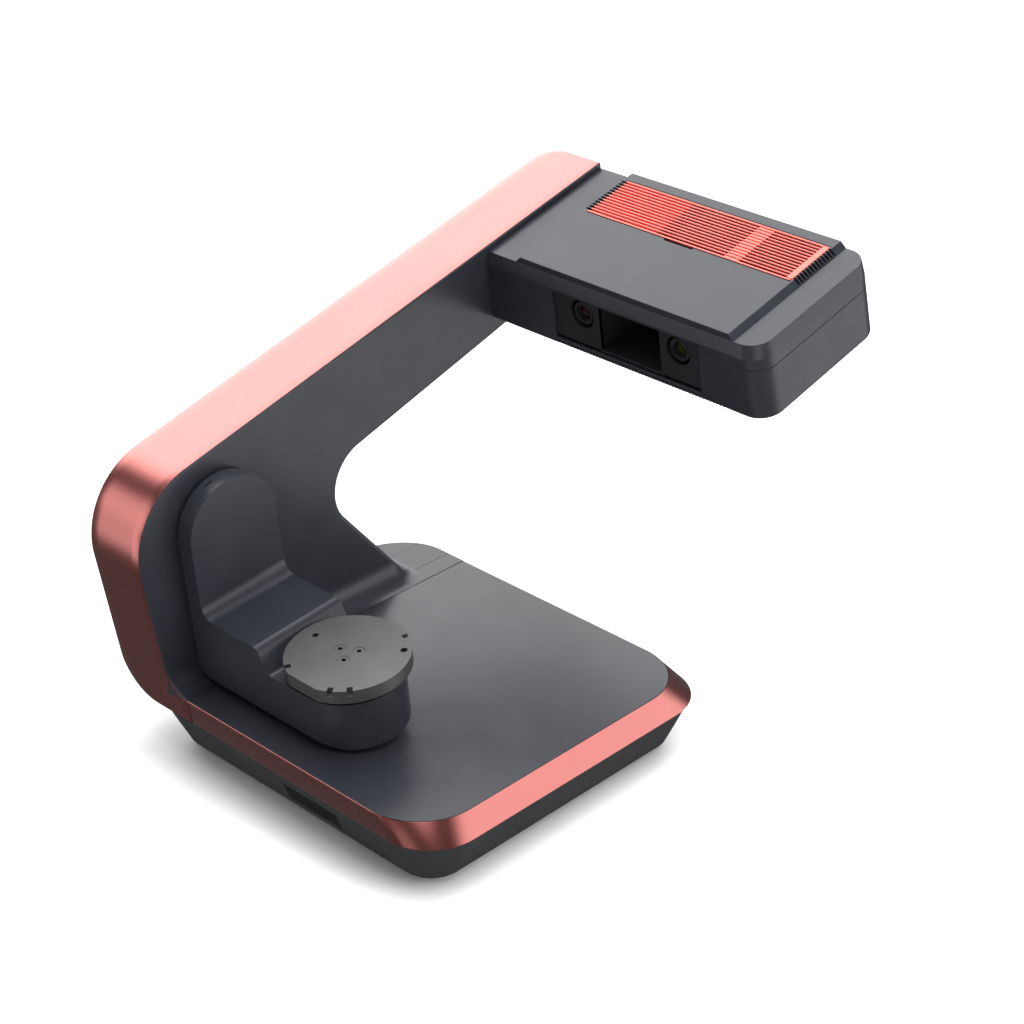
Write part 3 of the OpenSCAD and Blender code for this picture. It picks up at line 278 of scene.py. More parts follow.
def loft(bm, rings):
    """A skin through rings of as many points each, closed with a face at its ends."""
    made = [[bm.verts.new(p) for p in ring] for ring in rings]
    for low, high in zip(made, made[1:]):
        for i in range(len(low)):
            j = (i + 1) % len(low)
            bm.faces.new((low[i], low[j], high[j], high[i]))
    bm.faces.new(made[0][::-1])
    bm.faces.new(made[-1])
    return made


def prism(bm, outline, low, high, along="z"):
    """Extrudes an outline along an axis: (X, Y) along z, (Y, Z) along x, and (X, Z) along y."""
    place = {"z": lambda a, b, w: (a, b, w), "x": lambda a, b, w: (w, a, b), "y": lambda a, b, w: (a, w, b)}
    return loft(bm, [[place[along](a, b, w) for a, b in outline] for w in (low, high)])


def block(bm, x0, x1, y0, y1, z0, z1):
    """A plain box, used for cutters and small members."""
    prism(bm, ((x0, y0), (x1, y0), (x1, y1), (x0, y1)), z0, z1)


def make(name, bm, matrix, material=None, round_mm=0.0, steps=3):
    """An object of a mesh in millimetres, its sharp edges rounded to round_mm."""
    bmesh.ops.remove_doubles(bm, verts=bm.verts, dist=1e-4)
    bmesh.ops.dissolve_degenerate(bm, edges=bm.edges, dist=1e-4)
    bmesh.ops.recalc_face_normals(bm, faces=bm.faces)
    bm.transform(matrix)
    mesh = bpy.data.meshes.new(name)
    bm.to_mesh(mesh)
    bm.free()
    made = bpy.data.objects.new(name, mesh)
    bpy.context.scene.collection.objects.link(made)
    if material:
        mesh.materials.append(material)
    if round_mm:
        soften(made, round_mm, steps=steps)
    return made


def soften(piece, round_mm, crease=28, steps=3):
    """Rounds a piece's edges that are sharper than crease degrees, and shades its faces smooth up to them."""
    piece.data.shade_smooth()
    piece.data.set_sharp_from_angle(angle=math.radians(crease))
    edge = piece.modifiers.new("edge", "BEVEL")
    edge.width = round_mm / 1000
    edge.segments = steps
    edge.limit_method = "ANGLE"
    edge.angle_limit = math.radians(crease)
    edge.miter_outer = "MITER_ARC"
    normal = piece.modifiers.new("normal", "WEIGHTED_NORMAL")
    normal.keep_sharp = True
    normal.weight = 80


def cut(piece, bm, matrix, operation="DIFFERENCE"):
    """Takes the cutter's shape out of a piece, or keeps only what lies in it."""
    cutter = make("cutter", bm, matrix)
    tool = piece.modifiers.new("cut", "BOOLEAN")
    tool.operation = operation
    tool.solver = "MANIFOLD"
    tool.object = cutter
    shape = piece.evaluated_get(bpy.context.evaluated_depsgraph_get())
    mesh = bpy.data.meshes.new_from_object(shape)
    piece.modifiers.clear()
    piece.data = mesh
    bpy.data.objects.remove(cutter)


def finish(piece, body, slot, *nodes):
    """The piece rides on its body and stands for these CAD nodes; slot is not used."""
    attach(piece, body)
    if nodes:
        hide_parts(*nodes)


pan_abs = moulded("spark_textured_dark_abs", "#2A2B2D", "#303134", "#55575C", 0.42, grain=1.1, depth=0.05)
pan_wall = 2.5
# Each height down the pan, with its rectangle and its two corner radii
pan_rings = (
    (-19.3, (-30, 226.4, 2.5, 253.4, 34.4, 24)), (-32, (-26.1, 221.4, 7.6, 247.1, 29, 23.5)),
    (-45, (-22, 216, 13.2, 240, 23, 23)), (-47.6, (-20.9, 214.9, 14.4, 238.7, 22, 22)),
    (-49.3, (-19.2, 213, 16.4, 236.8, 20, 20)), (-50, (-17, 210.5, 19, 234.2, 18, 18)),
)
outer = [[(x, y, z) for x, y in slab(*size)] for z, size in pan_rings]
inner = []
for z, (x0, x1, y0, y1, r, left_r) in pan_rings[:4]:
    inside = slab(x0 + pan_wall, x1 - pan_wall, y0 + pan_wall, y1 - pan_wall, r - pan_wall, left_r - pan_wall)
    inner.append([(x, y, z) for x, y in inside])
bm = bmesh.new()
loft(bm, inner[::-1] + outer)
pan = make("base_pan_shell", bm, stand, pan_abs)
# The recess at the back with its open roof, then the three openings in its wall
for cutter in (
    (63, 157, 226, 300, -45, -23), (63, 157, 232, 300, -23.1, -21.9),
    (70.2, 83.8, 205, 230, -40.8, -27.2), (95.2, 112.8, 205, 230, -40.8, -27.2),
    (130.2, 149.8, 205, 230, -40.8, -27.2),
):
    bm = bmesh.new()
    block(bm, *cutter)
    cut(pan, bm, stand)
vent = stand @ Matrix.Translation((0, 10, -36.5)) @ Matrix.Rotation(math.radians(20), 4, "X")
bm = bmesh.new()
prism(bm, slab(93, 141, -8.3, 8.3, 1.5, 1.5, 6), -9, 9)
cut(pan, bm, vent @ Matrix.Rotation(math.radians(90), 4, "X"))
soften(pan, 0.5)
finish(pan, "stand", "black_shell", "base_pan")
# The vent's insert is a separate moulding in plain black
give(black_nylon, "vent_panel")

# ---- Base: top cover ----
# The flat work plate is moulded ABS sprayed with a satin dark grey paint. It drops into the band, and
# its rolled edge stands a hair above it.
shell_paint = moulded("satin_dark_grey_paint", "#25272D", "#292B31", "#8A8C92", 0.30, grain=0.9, depth=0.012)
# The inner arm cover reaches over the base as far as this seam, and the plate and the band start beyond it
seam_x, seam_gap = 15.0, 0.3
plate_left = seam_x + seam_gap
bm = bmesh.new()
prism(bm, slab(plate_left, 222.9, -2.1, 240.9, 40.9), -2.5, 0)
cover = make("base_work_plate", bm, stand, shell_paint, 0.9, steps=4)
finish(cover, "stand", "satin_dark_shell", "base_top_cover")

# ---- Base: band ----
# A strip of aluminium, pressed to the base's flare, blasted, and anodised salmon red. It clips round the
# front, the free side and the back of the base.
red_metal, tree, shader = start("red_anodised_aluminium")
spot = add(tree, "ShaderNodeTexCoord").outputs["Object"]
tone = add(tree, "ShaderNodeTexNoise", {"Vector": spot, "Scale": 18, "Detail": 4})
tone = add(tree, "ShaderNodeMix", {
    0: tone.outputs[0], 6: linear("#C9746F"), 7: linear("#CF7A75")}, data_type="RGBA")
# Blasted with fine glass bead before the dye: specks about 0.5 mm apart, drawn a little coarser to show
bead = add(tree, "ShaderNodeTexNoise", {"Vector": spot, "Scale": 1600, "Detail": 2})
matt = add(tree, "ShaderNodeMapRange", {
    "Value": bead.outputs[0], "From Min": 0.3, "From Max": 0.7, "To Min": 0.24, "To Max": 0.32})
bump = add(tree, "ShaderNodeBump", {"Height": bead.outputs[0], "Strength": 0.12, "Distance": 0.0000015})
shader.inputs["Metallic"].default_value = 1.0
shader.inputs["Coat Weight"].default_value = 0.6
shader.inputs["Coat Roughness"].default_value = 0.2
tree.links.new(tone.outputs[2], shader.inputs["Base Color"])
tree.links.new(matt.outputs[0], shader.inputs["Roughness"])
tree.links.new(bump.outputs[0], shader.inputs["Normal"])

# How far down the band reaches
band_low = -19.0
bm = bmesh.new()
rim = slab(plate_left, 223.2, -2.4, 241.2, 41.2, steps=32)
waist = slab(plate_left, 228, 0.9, 255, 36, steps=32)
under = slab(plate_left, 227.4, 1.5, 254.4, 35.4, steps=32)
under_in = slab(plate_left, 226.2, 2.7, 253.2, 34.2, steps=32)
rim_in = slab(plate_left, 223.05, -2.25, 241.05, 41.05, steps=32)
rings = [[(x, y, z) for x, y in ring] for ring, z in (
    (rim_in, -1.6), (rim_in, -0.35), (rim, -0.7), (waist, -18), (under, band_low), (under_in, band_low))]
# Only the front, the free side and the back: the outline starts and ends at the seam
count = len(rim)
rings = [ring[-1:] + ring[:count // 4 * 2 + 1] for ring in rings]
rows = [[bm.verts.new(p) for p in ring] for ring in rings]
for low, high in zip(rows, rows[1:]):
    for i in range(len(low) - 1):
        bm.faces.new((low[i], low[i + 1], high[i + 1], high[i]))
band = make("base_band_strip", bm, stand, red_metal)
band.data.shade_smooth()
band.data.set_sharp_from_angle(angle=math.radians(30))
finish(band, "stand", "red_metallic", "base_band")

# ---- Arm: frame and drive ----
# A cast plate inside the arm carries the tilt shaft's two bearings and the belt drive that turns it. These
# and the like parts in the head and the swing arm are covered, so they keep their CAD shapes.
give(cast_alloy, "arm_frame", "tilt_pulley", "tilt_motor_pulley", "head_bracket", "heat_sink", "swing_bracket",
     "bearing_housing", "table_pulley", "table_motor_pulley")
give(bearing_steel, "tilt_shaft", "tilt_bearings", "table_bearings", "table_spindle")
give(zinc_steel, "head_screws", "swing_screws", "arm_cover_screws")
give(black_nylon, "tilt_motor", "table_motor", "head_cable", "projector", "camera_left", "camera_right")
give(belt_rubber, "tilt_belt", "table_belt")

# ---- Arm: covers ----
# Two ABS shells, screwed together along the arm's middle and painted as the plate is. Their front and
# top edges roll up to the band, and the inner one runs out over the base in a soft hollow.
def turned(angle, size=1.0):
    """The point at an angle in degrees and a distance from the origin."""
    return Vector((size * math.cos(math.radians(angle)), size * math.sin(math.radians(angle))))


def meet(n, c, m, e):
    """Where the lines n . p = c and m . p = e cross."""
    return Vector((c * m.y - e * n.y, e * n.x - c * m.x)) / (n.x * m.y - n.y * m.x)


def arc(centre, r, u, v, steps):
    """Points of the shorter arc about a centre, from the way u to the way v."""
    a = math.atan2(u.y, u.x)
    span = (math.atan2(v.y, v.x) - a + 3 * math.pi) % (2 * math.pi) - math.pi
    turns = [a + span * i / steps for i in range(steps + 1)]
    return [centre + r * Vector((math.cos(t), math.sin(t))) for t in turns]


# Slopes in degrees: of the arm's top, of the head's end walls against it, of the arm's front, and of the
# mouth's upper and lower sides
rise, tip, front_lean, mouth_rise, mouth_fall = 14.7, 6.2, 9.85, 17.1, 49.8
# The arm's thickness and length in mm, where its front meets the plate, and how high its top's line stands
# over the front of the base
arm_thick, arm_long, front_foot, top_high = 48, 441, -2.4, 142
# How deep the covers lie under the band's outer face, the band's gaps to the sides of the inner and the
# outer cover, and how wide the mouth's edge rolls over
under_band, band_gap, outer_gap, mouth_roll = 1.25, 0.9, 0.6, 2.5
# Rounds: the bend at the front, the mouth's end, the hollow at the foot, the lower left edge, which starts
# at the height edge_z, and the corner at the end of the arm
bend_r, nose_r, foot_r, edge_r, edge_z, tail_r = 54, 30, 16, 28, 9, 16.4
front_n, front_c = turned(front_lean), front_foot * math.cos(math.radians(front_lean))
top_n, top_c = turned(rise - 90), -top_high * math.cos(math.radians(rise))
top_back = turned(rise, arm_long) + top_c * top_n
back_n = turned(180 + rise - tip)
back_c = back_n.dot(top_back)
nose = Vector((171.4, 83.7))
upper_n, lower_n = turned(90 + mouth_rise), turned(270 - mouth_fall)
upper_c, lower_c = upper_n.dot(nose) + nose_r, lower_n.dot(nose) + nose_r
ground_n = Vector((0, -1))
rear_top, rear_low = Vector((241.2, 0)), Vector((255, band_low))
bend = meet(front_n, front_c + bend_r, top_n, top_c + bend_r)
foot = Vector(((lower_c - foot_r - lower_n.y * foot_r) / lower_n.x, foot_r))


def arm_outline(d):
    """Side outline of the arm, (Y, Z), inset by d along its front and top: the points, and how many of the
    first ones lie along the mouth when the list starts at the top of the back."""
    mouth = [meet(back_n, back_c, upper_n, upper_c)] + arc(nose, nose_r, upper_n, lower_n, 28)
    mouth += arc(foot, foot_r, lower_n, ground_n, 12)
    rest = [rear_top, rear_low, meet(front_n, front_c + d, ground_n, -band_low)]
    rest += arc(bend, bend_r - d, -front_n, -top_n, 48)
    return mouth + rest + [meet(top_n, top_c + d, back_n, back_c)], len(mouth)


def arm_side(name, x_in, x_out, cutters):
    """A cover: a thick side of the arm whose mouth edge is rolled over at x_out."""
    bm = bmesh.new()
    outline, rolled = arm_outline(under_band)
    rings = prism(bm, outline, min(x_in, x_out), max(x_in, x_out), "x")
    ring = rings[1] if x_out > x_in else rings[0]
    weight = bm.edges.layers.float.new("bevel_weight_edge")
    # The roll fades out along the last twelve edges, where the mouth meets the plate
    for i in range(rolled - 1):
        edge = bm.edges.get((ring[i], ring[i + 1]))
        fade = (rolled - 1 - i) / 12
        edge[weight] = min(1.0, fade)
    made = make(name, bm, stand, shell_paint)
    roll = made.modifiers.new("roll", "BEVEL")
    roll.width = mouth_roll / 1000
    roll.segments = 6
    roll.limit_method = "WEIGHT"
    for bm in cutters:
        cut(made, bm, stand)
    return made


def corner_cutter(centre, r, quarter, low, high, along):
    """What lies outside a round of radius r, in the quarter that starts at the angle given."""
    bm = bmesh.new()
    a, b, far = turned(quarter), turned(quarter + 90), 80
    outline = [centre + a * r + a * far, centre + a * r] + arc(centre, r, a, b, 32)[1:-1]
    outline += [centre + b * r, centre + b * r + b * far, centre + (a + b) * (r + far)]
    prism(bm, outline, low, high, along)
    return bm


def trims():
    """Rounds of the arm: its lower left edge, its back left corner, and the base's back left corner."""
    edge = corner_cutter(Vector((edge_r - arm_thick, edge_z)), edge_r, 180, -60, 420, "y")
    back = corner_cutter(Vector((tail_r - arm_thick, arm_long - tail_r)), tail_r, 90, -200, 60, "z")
    back.transform(Matrix.Rotation(math.radians(rise), 4, "X") @ Matrix.Translation((0, 0, -top_c))
                   @ Matrix.Translation((0, arm_long, 0)) @ Matrix.Rotation(math.radians(-tip), 4, "X")
                   @ Matrix.Translation((0, -arm_long, 0)))
    base = corner_cutter(Vector((-8, -40)), 40, 90, -60, 57, "z")
    lean = math.atan2(rear_low.x - rear_top.x, -band_low)
    base.transform(Matrix.Translation((0, rear_low.x, rear_low.y)) @ Matrix.Rotation(lean, 4, "X"))
    return edge, back, base


outer_cover = arm_side("arm_outer_shell", -24.2, -arm_thick, trims())
soften(outer_cover, 0.5, 35)
finish(outer_cover, "stand", "satin_dark_shell", "arm_outer_cover")

inner_cover = arm_side("arm_inner_shell", -24, 0, trims()[2:])
soften(inner_cover, 0.4, 40)
finish(inner_cover, "stand", "satin_dark_shell", "arm_inner_cover")

# The strip of the inner cover that lies over the base as far as the seam
bm = bmesh.new()
strip_front = front_foot + under_band
prism(bm, (
    (strip_front, 0), (rear_top.x, 0), (rear_low.x, band_low), (rear_low.x - 3, band_low),
    (rear_top.x - 2.8, -2.5), (strip_front + 0.45, -2.5)), 0, seam_x, "x")
strip = make("arm_foot_strip", bm, stand, shell_paint, 0.35)
finish(strip, "stand", "satin_dark_shell")


def front_y(z):
    """How far forward the arm's front stands at a height."""
    return front_foot - z * math.tan(math.radians(front_lean))


# The hollow along the foot of the arm, which rolls round the end of the slope
hollow_back = 184.75
bm = bmesh.new()
sections = []
for i in range(9):
    y = strip_front + (hollow_back - strip_front) * i / 8
    sections.append((Vector((foot_r, y, foot_r)), Vector((-1, 0, 0))))
out = Vector((0, -lower_n.x, -lower_n.y))
for i in range(1, 25):
    a = math.radians(90 * i / 24)
    along = -lower_c - mouth_roll + (foot_r + mouth_roll) * math.sin(a)
    across = -mouth_roll + (foot_r + mouth_roll) * math.cos(a)
    centre = Vector((across, (along - foot_r * out.z) / out.y, foot_r))
    sections.append((centre, -(math.cos(a) * Vector((1, 0, 0)) + math.sin(a) * out)))
rings = []
for centre, way in sections:
    down = Vector((0, 0, -1))
    span = way.angle(down)
    ring = []
    for k in range(21):
        t = k / 20
        lean = (way * math.sin((1 - t) * span) + down * math.sin(t * span)) / math.sin(span)
        point = centre + foot_r * lean
        if k == 0:
            point = point + 0.02 * way
        point.x = min(point.x, seam_x)
        ring.append(point)
    if centre.y < front_foot + 3:
        for point in ring:
            point.y = front_y(point.z) + under_band
    ring += [Vector((ring[-1].x, ring[-1].y, -1)), Vector((ring[0].x - 1, ring[0].y - 0.5, -1))]
    rings.append(ring)
loft(bm, rings)
hollow = make("arm_foot_hollow", bm, stand, shell_paint)
hollow.data.shade_smooth()
hollow.data.set_sharp_from_angle(angle=math.radians(40))
finish(hollow, "stand", "satin_dark_shell")

# The rolled lip between the side of the arm and the band, round the bend and down to the plate: each point
# of its path goes with the band's outward way and the side's
over_top, over_front = Vector((0, -top_n.x, -top_n.y)), Vector((0, -front_n.x, -front_n.y))
inward = Vector((1, 0, 0))
lip_path = []
for i in range(13):
    p = meet(top_n, top_c, back_n, back_c).lerp(bend + bend_r * -top_n, i / 12)
    lip_path.append((Vector((0, p.x, p.y)), over_top, inward))
for p in arc(bend, bend_r, -top_n, -front_n, 48)[1:]:
    lip_path.append((Vector((0, p.x, p.y)), Vector((0, *(p - bend).normalized())), inward))
bend_foot = (bend + bend_r * -front_n).y
for i in range(1, 6):
    z = bend_foot * (1 - i / 5) + foot_r * i / 5
    lip_path.append((Vector((0, front_y(z), z)), over_front, inward))
for i in range(1, 25):
    a = math.acos(1 / foot_r) * i / 24
    x, z = foot_r - foot_r * math.cos(a), foot_r - foot_r * math.sin(a)
    lip_path.append((Vector((x, front_y(z), z)), over_front, Vector((math.cos(a), 0, math.sin(a)))))


def lip(name, path, width):
    """A rolled edge along a path of points, each with the band's outward way and the side's."""
    bm = bmesh.new()
    rings = []
    for point, over, side in path:
        ring = []
        for k in range(6):
            a = math.radians(90 * k / 5)
            ring.append(point - side * width * (1 - math.cos(a)) - over * (0.1 + 1.15 * (1 - math.sin(a))))
        ring.append(point - side * width - over * under_band)
        rings.append(ring)
    loft(bm, rings)
    made = make(name, bm, stand, shell_paint)
    made.data.shade_smooth()
    made.data.set_sharp_from_angle(angle=math.radians(40))
    finish(made, "stand", "satin_dark_shell")


lip("arm_inner_lip", lip_path, band_gap)
# The outer one follows the same line on the other side, as far as the round of the lower edge
tail_start = arm_long - tail_r
outer_path = [
    (Vector((-arm_thick, p.y, p.z)), over, -inward) for p, over, side in lip_path
    if p.z > edge_z and side.x > 0.999 and turned(rise).dot(p.yz) < tail_start]
lip("arm_outer_lip", outer_path, outer_gap)

# ---- Arm: band ----
# The same anodised strip, pressed to run over the top of the arm, round its bend and down the front to the
# seam in the base. It covers the joint between the two covers.
rows = []
# Heights up the front: round the lower edge, then beside the foot's hollow, then straight up to the bend
hollow_r = foot_r + band_gap
heights = {band_low, -0.87, edge_z, foot_r}
heights |= {edge_z - edge_r * math.sin(math.radians(90 * i / 24)) for i in range(1, 24)}
heights |= {foot_r - hollow_r * math.sin(math.acos(1 / hollow_r) * i / 24) for i in range(1, 25)}
heights |= {foot_r + (bend_foot - foot_r) * i / 6 for i in range(1, 7)}
for z in sorted(heights):
    left = edge_r - arm_thick - math.sqrt(max(0.0, edge_r ** 2 - min(0.0, z - edge_z) ** 2))
    left += outer_gap * min(1.0, (z - band_low) / 12)
    if z > 15.99:
        right = -band_gap
    elif z > -0.88:
        right = min(seam_x, foot_r - math.sqrt(max(0.0, hollow_r ** 2 - (foot_r - z) ** 2)))
    else:
        right = seam_x
    rows.append((left, right, front_y(z), z))
for p in arc(bend, bend_r, -front_n, -top_n, 64)[1:]:
    rows.append((-arm_thick + outer_gap, -band_gap, p.x, p.y))
# Then up the top as far as the round corner at its end
start_u = (bend + bend_r * -top_n).dot(turned(rise))
spans = [start_u + (tail_start - start_u) * i / 10 for i in range(1, 11)]
spans += [tail_start + tail_r * math.sin(math.radians(90 * i / 24)) for i in range(1, 25)]
for u in spans:
    p = turned(rise, u) + top_c * top_n
    left = tail_r - arm_thick - math.sqrt(max(0.0, tail_r ** 2 - max(0.0, u - tail_start) ** 2)) + outer_gap
    rows.append((left, -band_gap, p.x, p.y))
bm = bmesh.new()
grid = [[bm.verts.new((left + (right - left) * k / 6, y, z)) for k in range(7)] for left, right, y, z in rows]
for low, high in zip(grid, grid[1:]):
    for k in range(6):
        bm.faces.new((low[k], low[k + 1], high[k + 1], high[k]))
arm_strip = make("arm_band_strip", bm, stand, red_metal)
arm_strip.data.shade_smooth()
thick = arm_strip.modifiers.new("thick", "SOLIDIFY")
thick.thickness = 0.0012
thick.offset = -1
edge = arm_strip.modifiers.new("edge", "BEVEL")
edge.width = 0.00025
edge.segments = 2
edge.angle_limit = math.radians(50)
finish(arm_strip, "stand", "red_metallic", "arm_band")

# ---- Head: shells ----
# The head is a flat box of painted ABS: a top shell with a raised panel and a bevelled rim, and a lower
# housing that closes it from below. A fine gap runs round between the two.
top = stand @ Matrix.Rotation(math.radians(rise), 4, "X") @ Matrix.Translation((0, 0, -top_c))
head_front, shoulder, underside = 323.5, -12.5, -53.3
side_x, flare, corner_r = 230, 3.8, 16
wall_high = shoulder - underside
wall = top @ Matrix.Translation((0, head_front, shoulder)) @ Matrix.Rotation(math.radians(-tip), 4, "X")
tan_tip = math.tan(math.radians(tip))


def head_ring(w, d=0.0, margin=False):
    """Ring round the head at the height w, inset by d. Both end walls lean, and the free side flares towards
    the underside; the margin round the raised panel lies a bevel's width further in."""
    front, side = head_front + (w - shoulder) * tan_tip, side_x + flare * (shoulder - w) / wall_high
    r = corner_r
    if margin:
        front, side, r = head_front + 3.5, side_x - 3, corner_r - 1.5
    back = arm_long + w * tan_tip
    return [(x, y, w) for x, y in slab(0.3 + d, side - d, front + d, back - d, r - d, 0.3, 20)]


bm = bmesh.new()
loft(bm, [
    head_ring(-6.5, 2.5, True), head_ring(-14.5, 2.5), head_ring(-19.6, 2.5),
    head_ring(-19.6), head_ring(shoulder), head_ring(-4, 0, True)])
top_shell = make("head_top_cover", bm, top, shell_paint)
bm = bmesh.new()
loft(bm, [[(24.8, 326.9, -4.2), (208.2, 326.9, -4.2), (208.2, 440.55, -4.2), (24.8, 440.55, -4.2)],
          [(29, 327.6, 0), (204, 327.6, 0), (204, arm_long, 0), (29, arm_long, 0)]])
raised = make("head_raised_panel", bm, top, shell_paint)
# The window in the front wall, as a block on the wall's own axes
window = (58, 181.4, -6, 4.2, -36.1, -1.4)
bm = bmesh.new()
block(bm, *window)
cut(top_shell, bm, wall)
# The grille's opening, with the comb of short slots at each end and a finger notch in front
pitch, bar_gap, bar_count, field_front = 3.0, 1.6, 13, 392.9
for piece in (top_shell, raised):
    bm = bmesh.new()
    block(bm, 32.2, 202.6, 390.1, 432.6, -9, 3)
    cut(piece, bm, top)
for x0, x1, depth in ((28.6, 32.5, -3.6), (202.3, 209.8, -3.9)):
    for i in range(bar_count):
        bm = bmesh.new()
        block(bm, x0, x1, field_front + i * pitch, field_front + bar_gap + i * pitch, depth, 3)
        cut(raised, bm, top)
bm = bmesh.new()
block(bm, 101, 125, 388.4, 390.5, -3, 3)
cut(raised, bm, top)
soften(top_shell, 0.7, 9)
soften(raised, 0.35, 20)
finish(top_shell, "stand", "satin_dark_shell", "head_top_shell")
finish(raised, "stand", "satin_dark_shell")

bm = bmesh.new()
loft(bm, [
    head_ring(-51.1, 4.0), head_ring(-51.0, 2.5), head_ring(-19.95, 2.5),
    head_ring(-19.95), head_ring(-51.6), head_ring(-52.7, 0.5), head_ring(-53.2, 1.6), head_ring(underside, 3)])
housing = make("head_lower_cover", bm, top, shell_paint)
bm = bmesh.new()
block(bm, *window)
cut(housing, bm, wall)
# A row of fine slots runs along the lip under the window
for i in range(52):
    x = 59.6 + i * 2.8
    bm = bmesh.new()
    block(bm, x, x + 1.3, -3, 1.2, -40.8, -37.4)
    cut(housing, bm, wall)
soften(housing, 0.35, 22)
finish(housing, "stand", "black_shell", "head_lower_housing")

# ---- Head: grille ----
# A loose insert, moulded in ABS and vacuum plated red to match the band. Thirteen bars run its length:
# they stand over open slots above the fan and the cameras, and over a closed floor beside them.
red_plate, tree, shader = start("red_vacuum_plated_abs")
spot = add(tree, "ShaderNodeTexCoord").outputs["Object"]
tone = add(tree, "ShaderNodeTexNoise", {"Vector": spot, "Scale": 70, "Detail": 4})
tone = add(tree, "ShaderNodeMix", {
    0: tone.outputs[0], 6: linear("#E0655A"), 7: linear("#EA7468")}, data_type="RGBA")
haze = add(tree, "ShaderNodeTexNoise", {"Vector": spot, "Scale": 900, "Detail": 2})
haze = add(tree, "ShaderNodeMapRange", {"Value": haze.outputs[0], "To Min": 0.30, "To Max": 0.42})
shader.inputs["Metallic"].default_value = 0.85
shader.inputs["Coat Weight"].default_value = 0.5
shader.inputs["Coat Roughness"].default_value = 0.2
tree.links.new(tone.outputs[2], shader.inputs["Base Color"])
tree.links.new(haze.outputs[0], shader.inputs["Roughness"])

bm = bmesh.new()
# Its rims in front, its rim behind, the closed floors, and the end of the bars
insert_left, insert_right, bar_end, field_back = 32.5, 202.3, 197.6, 431.4
block(bm, insert_left, insert_right, 390.4, 391.9, -2.4, 0.5)
block(bm, insert_left, insert_right, 391.9, field_front, -2.4, -0.6)
block(bm, insert_left, insert_right, field_back, 432.3, -2.4, -0.2)
block(bm, insert_left, 90.4, field_front, field_back, -2.2, -1.3)
block(bm, 147.2, 159.2, field_front, field_back, -2.2, -0.7)
block(bm, bar_end, insert_right, field_front, field_back, -2.4, -0.15)
grille = make("head_grille_frame", bm, top, red_plate, 0.3)
bm = bmesh.new()
for i in range(bar_count):
    y = field_front + bar_gap + i * pitch
    ring = [(y, -1.35), (y + 1.3, -1.35), (y + 1.3, -0.35), (y + 1.1, -0.15), (y + 0.2, -0.15), (y, -0.35)]
    prism(bm, ring, insert_left, bar_end, "x")
bars = make("head_grille_bars", bm, top, red_plate)
bars.data.shade_smooth()
bars.data.set_sharp_from_angle(angle=math.radians(50))
finish(grille, "stand", "red_metallic", "louvre_grille")
finish(bars, "stand", "red_metallic")

# ---- Head: cameras and projector ----
# A matt black carrier closes the window: two flat faces with a round port for each camera, and between
# them the square tunnel that the projector shines through.
def circle(x, y, r, steps):
    """Points of a circle."""
    turns = [math.radians(360 * k / steps) for k in range(steps)]
    return [(x + r * math.cos(t), y + r * math.sin(t)) for t in turns]


port_black = moulded("matt_black_optical_abs", "#1A1B1E", "#1F2023", "#6C6E74", 0.45, grain=0.7, depth=0.02)
left_camera, right_camera, camera_z = 82.2, 163.2, -12.2
projector_x, projector_z = 122.5, -16.9
bm = bmesh.new()
block(bm, 58.3, 97, 1.5, 4, -33.9, -1.6)
block(bm, 148, 181.1, 1.5, 4, -33.9, -1.6)
faces = make("optics_faces", bm, wall, port_black)
for x in (left_camera, right_camera):
    bm = bmesh.new()
    prism(bm, circle(x, camera_z, 10, 72), 0, 6, "y")
    cut(faces, bm, wall)
soften(faces, 0.4)
finish(faces, "stand", "black_plastic", "optics_frame")
bm = bmesh.new()
block(bm, 95.5, 97, 1.7, 38, -35.3, -1.6)
block(bm, 148, 149.5, 1.7, 38, -35.3, -1.6)
prism(bm, ((1.9, -35.4), (38, -32.8), (38, -31.3), (1.9, -33.9)), 97, 148, "x")
block(bm, 97, 148, 1.9, 38, -2.7, -1.4)
block(bm, 97, 148, 36.4, 38, -32, -2.7)
block(bm, 58.3, 181.1, 3.2, 4, -35.9, -35.3)
tunnel = make("projector_tunnel", bm, wall, port_black, 0.25)
finish(tunnel, "stand", "black_plastic")


def turned_part(name, x, z, profile, material):
    """A part turned on a lathe about Y, from (radius, Y) points."""
    bm = bmesh.new()
    loft(bm, [[(a, y, b) for a, b in circle(x, z, r, 48)] for r, y in profile])
    made = make(name, bm, wall, material)
    made.data.shade_smooth()
    made.data.set_sharp_from_angle(angle=math.radians(30))
    return made
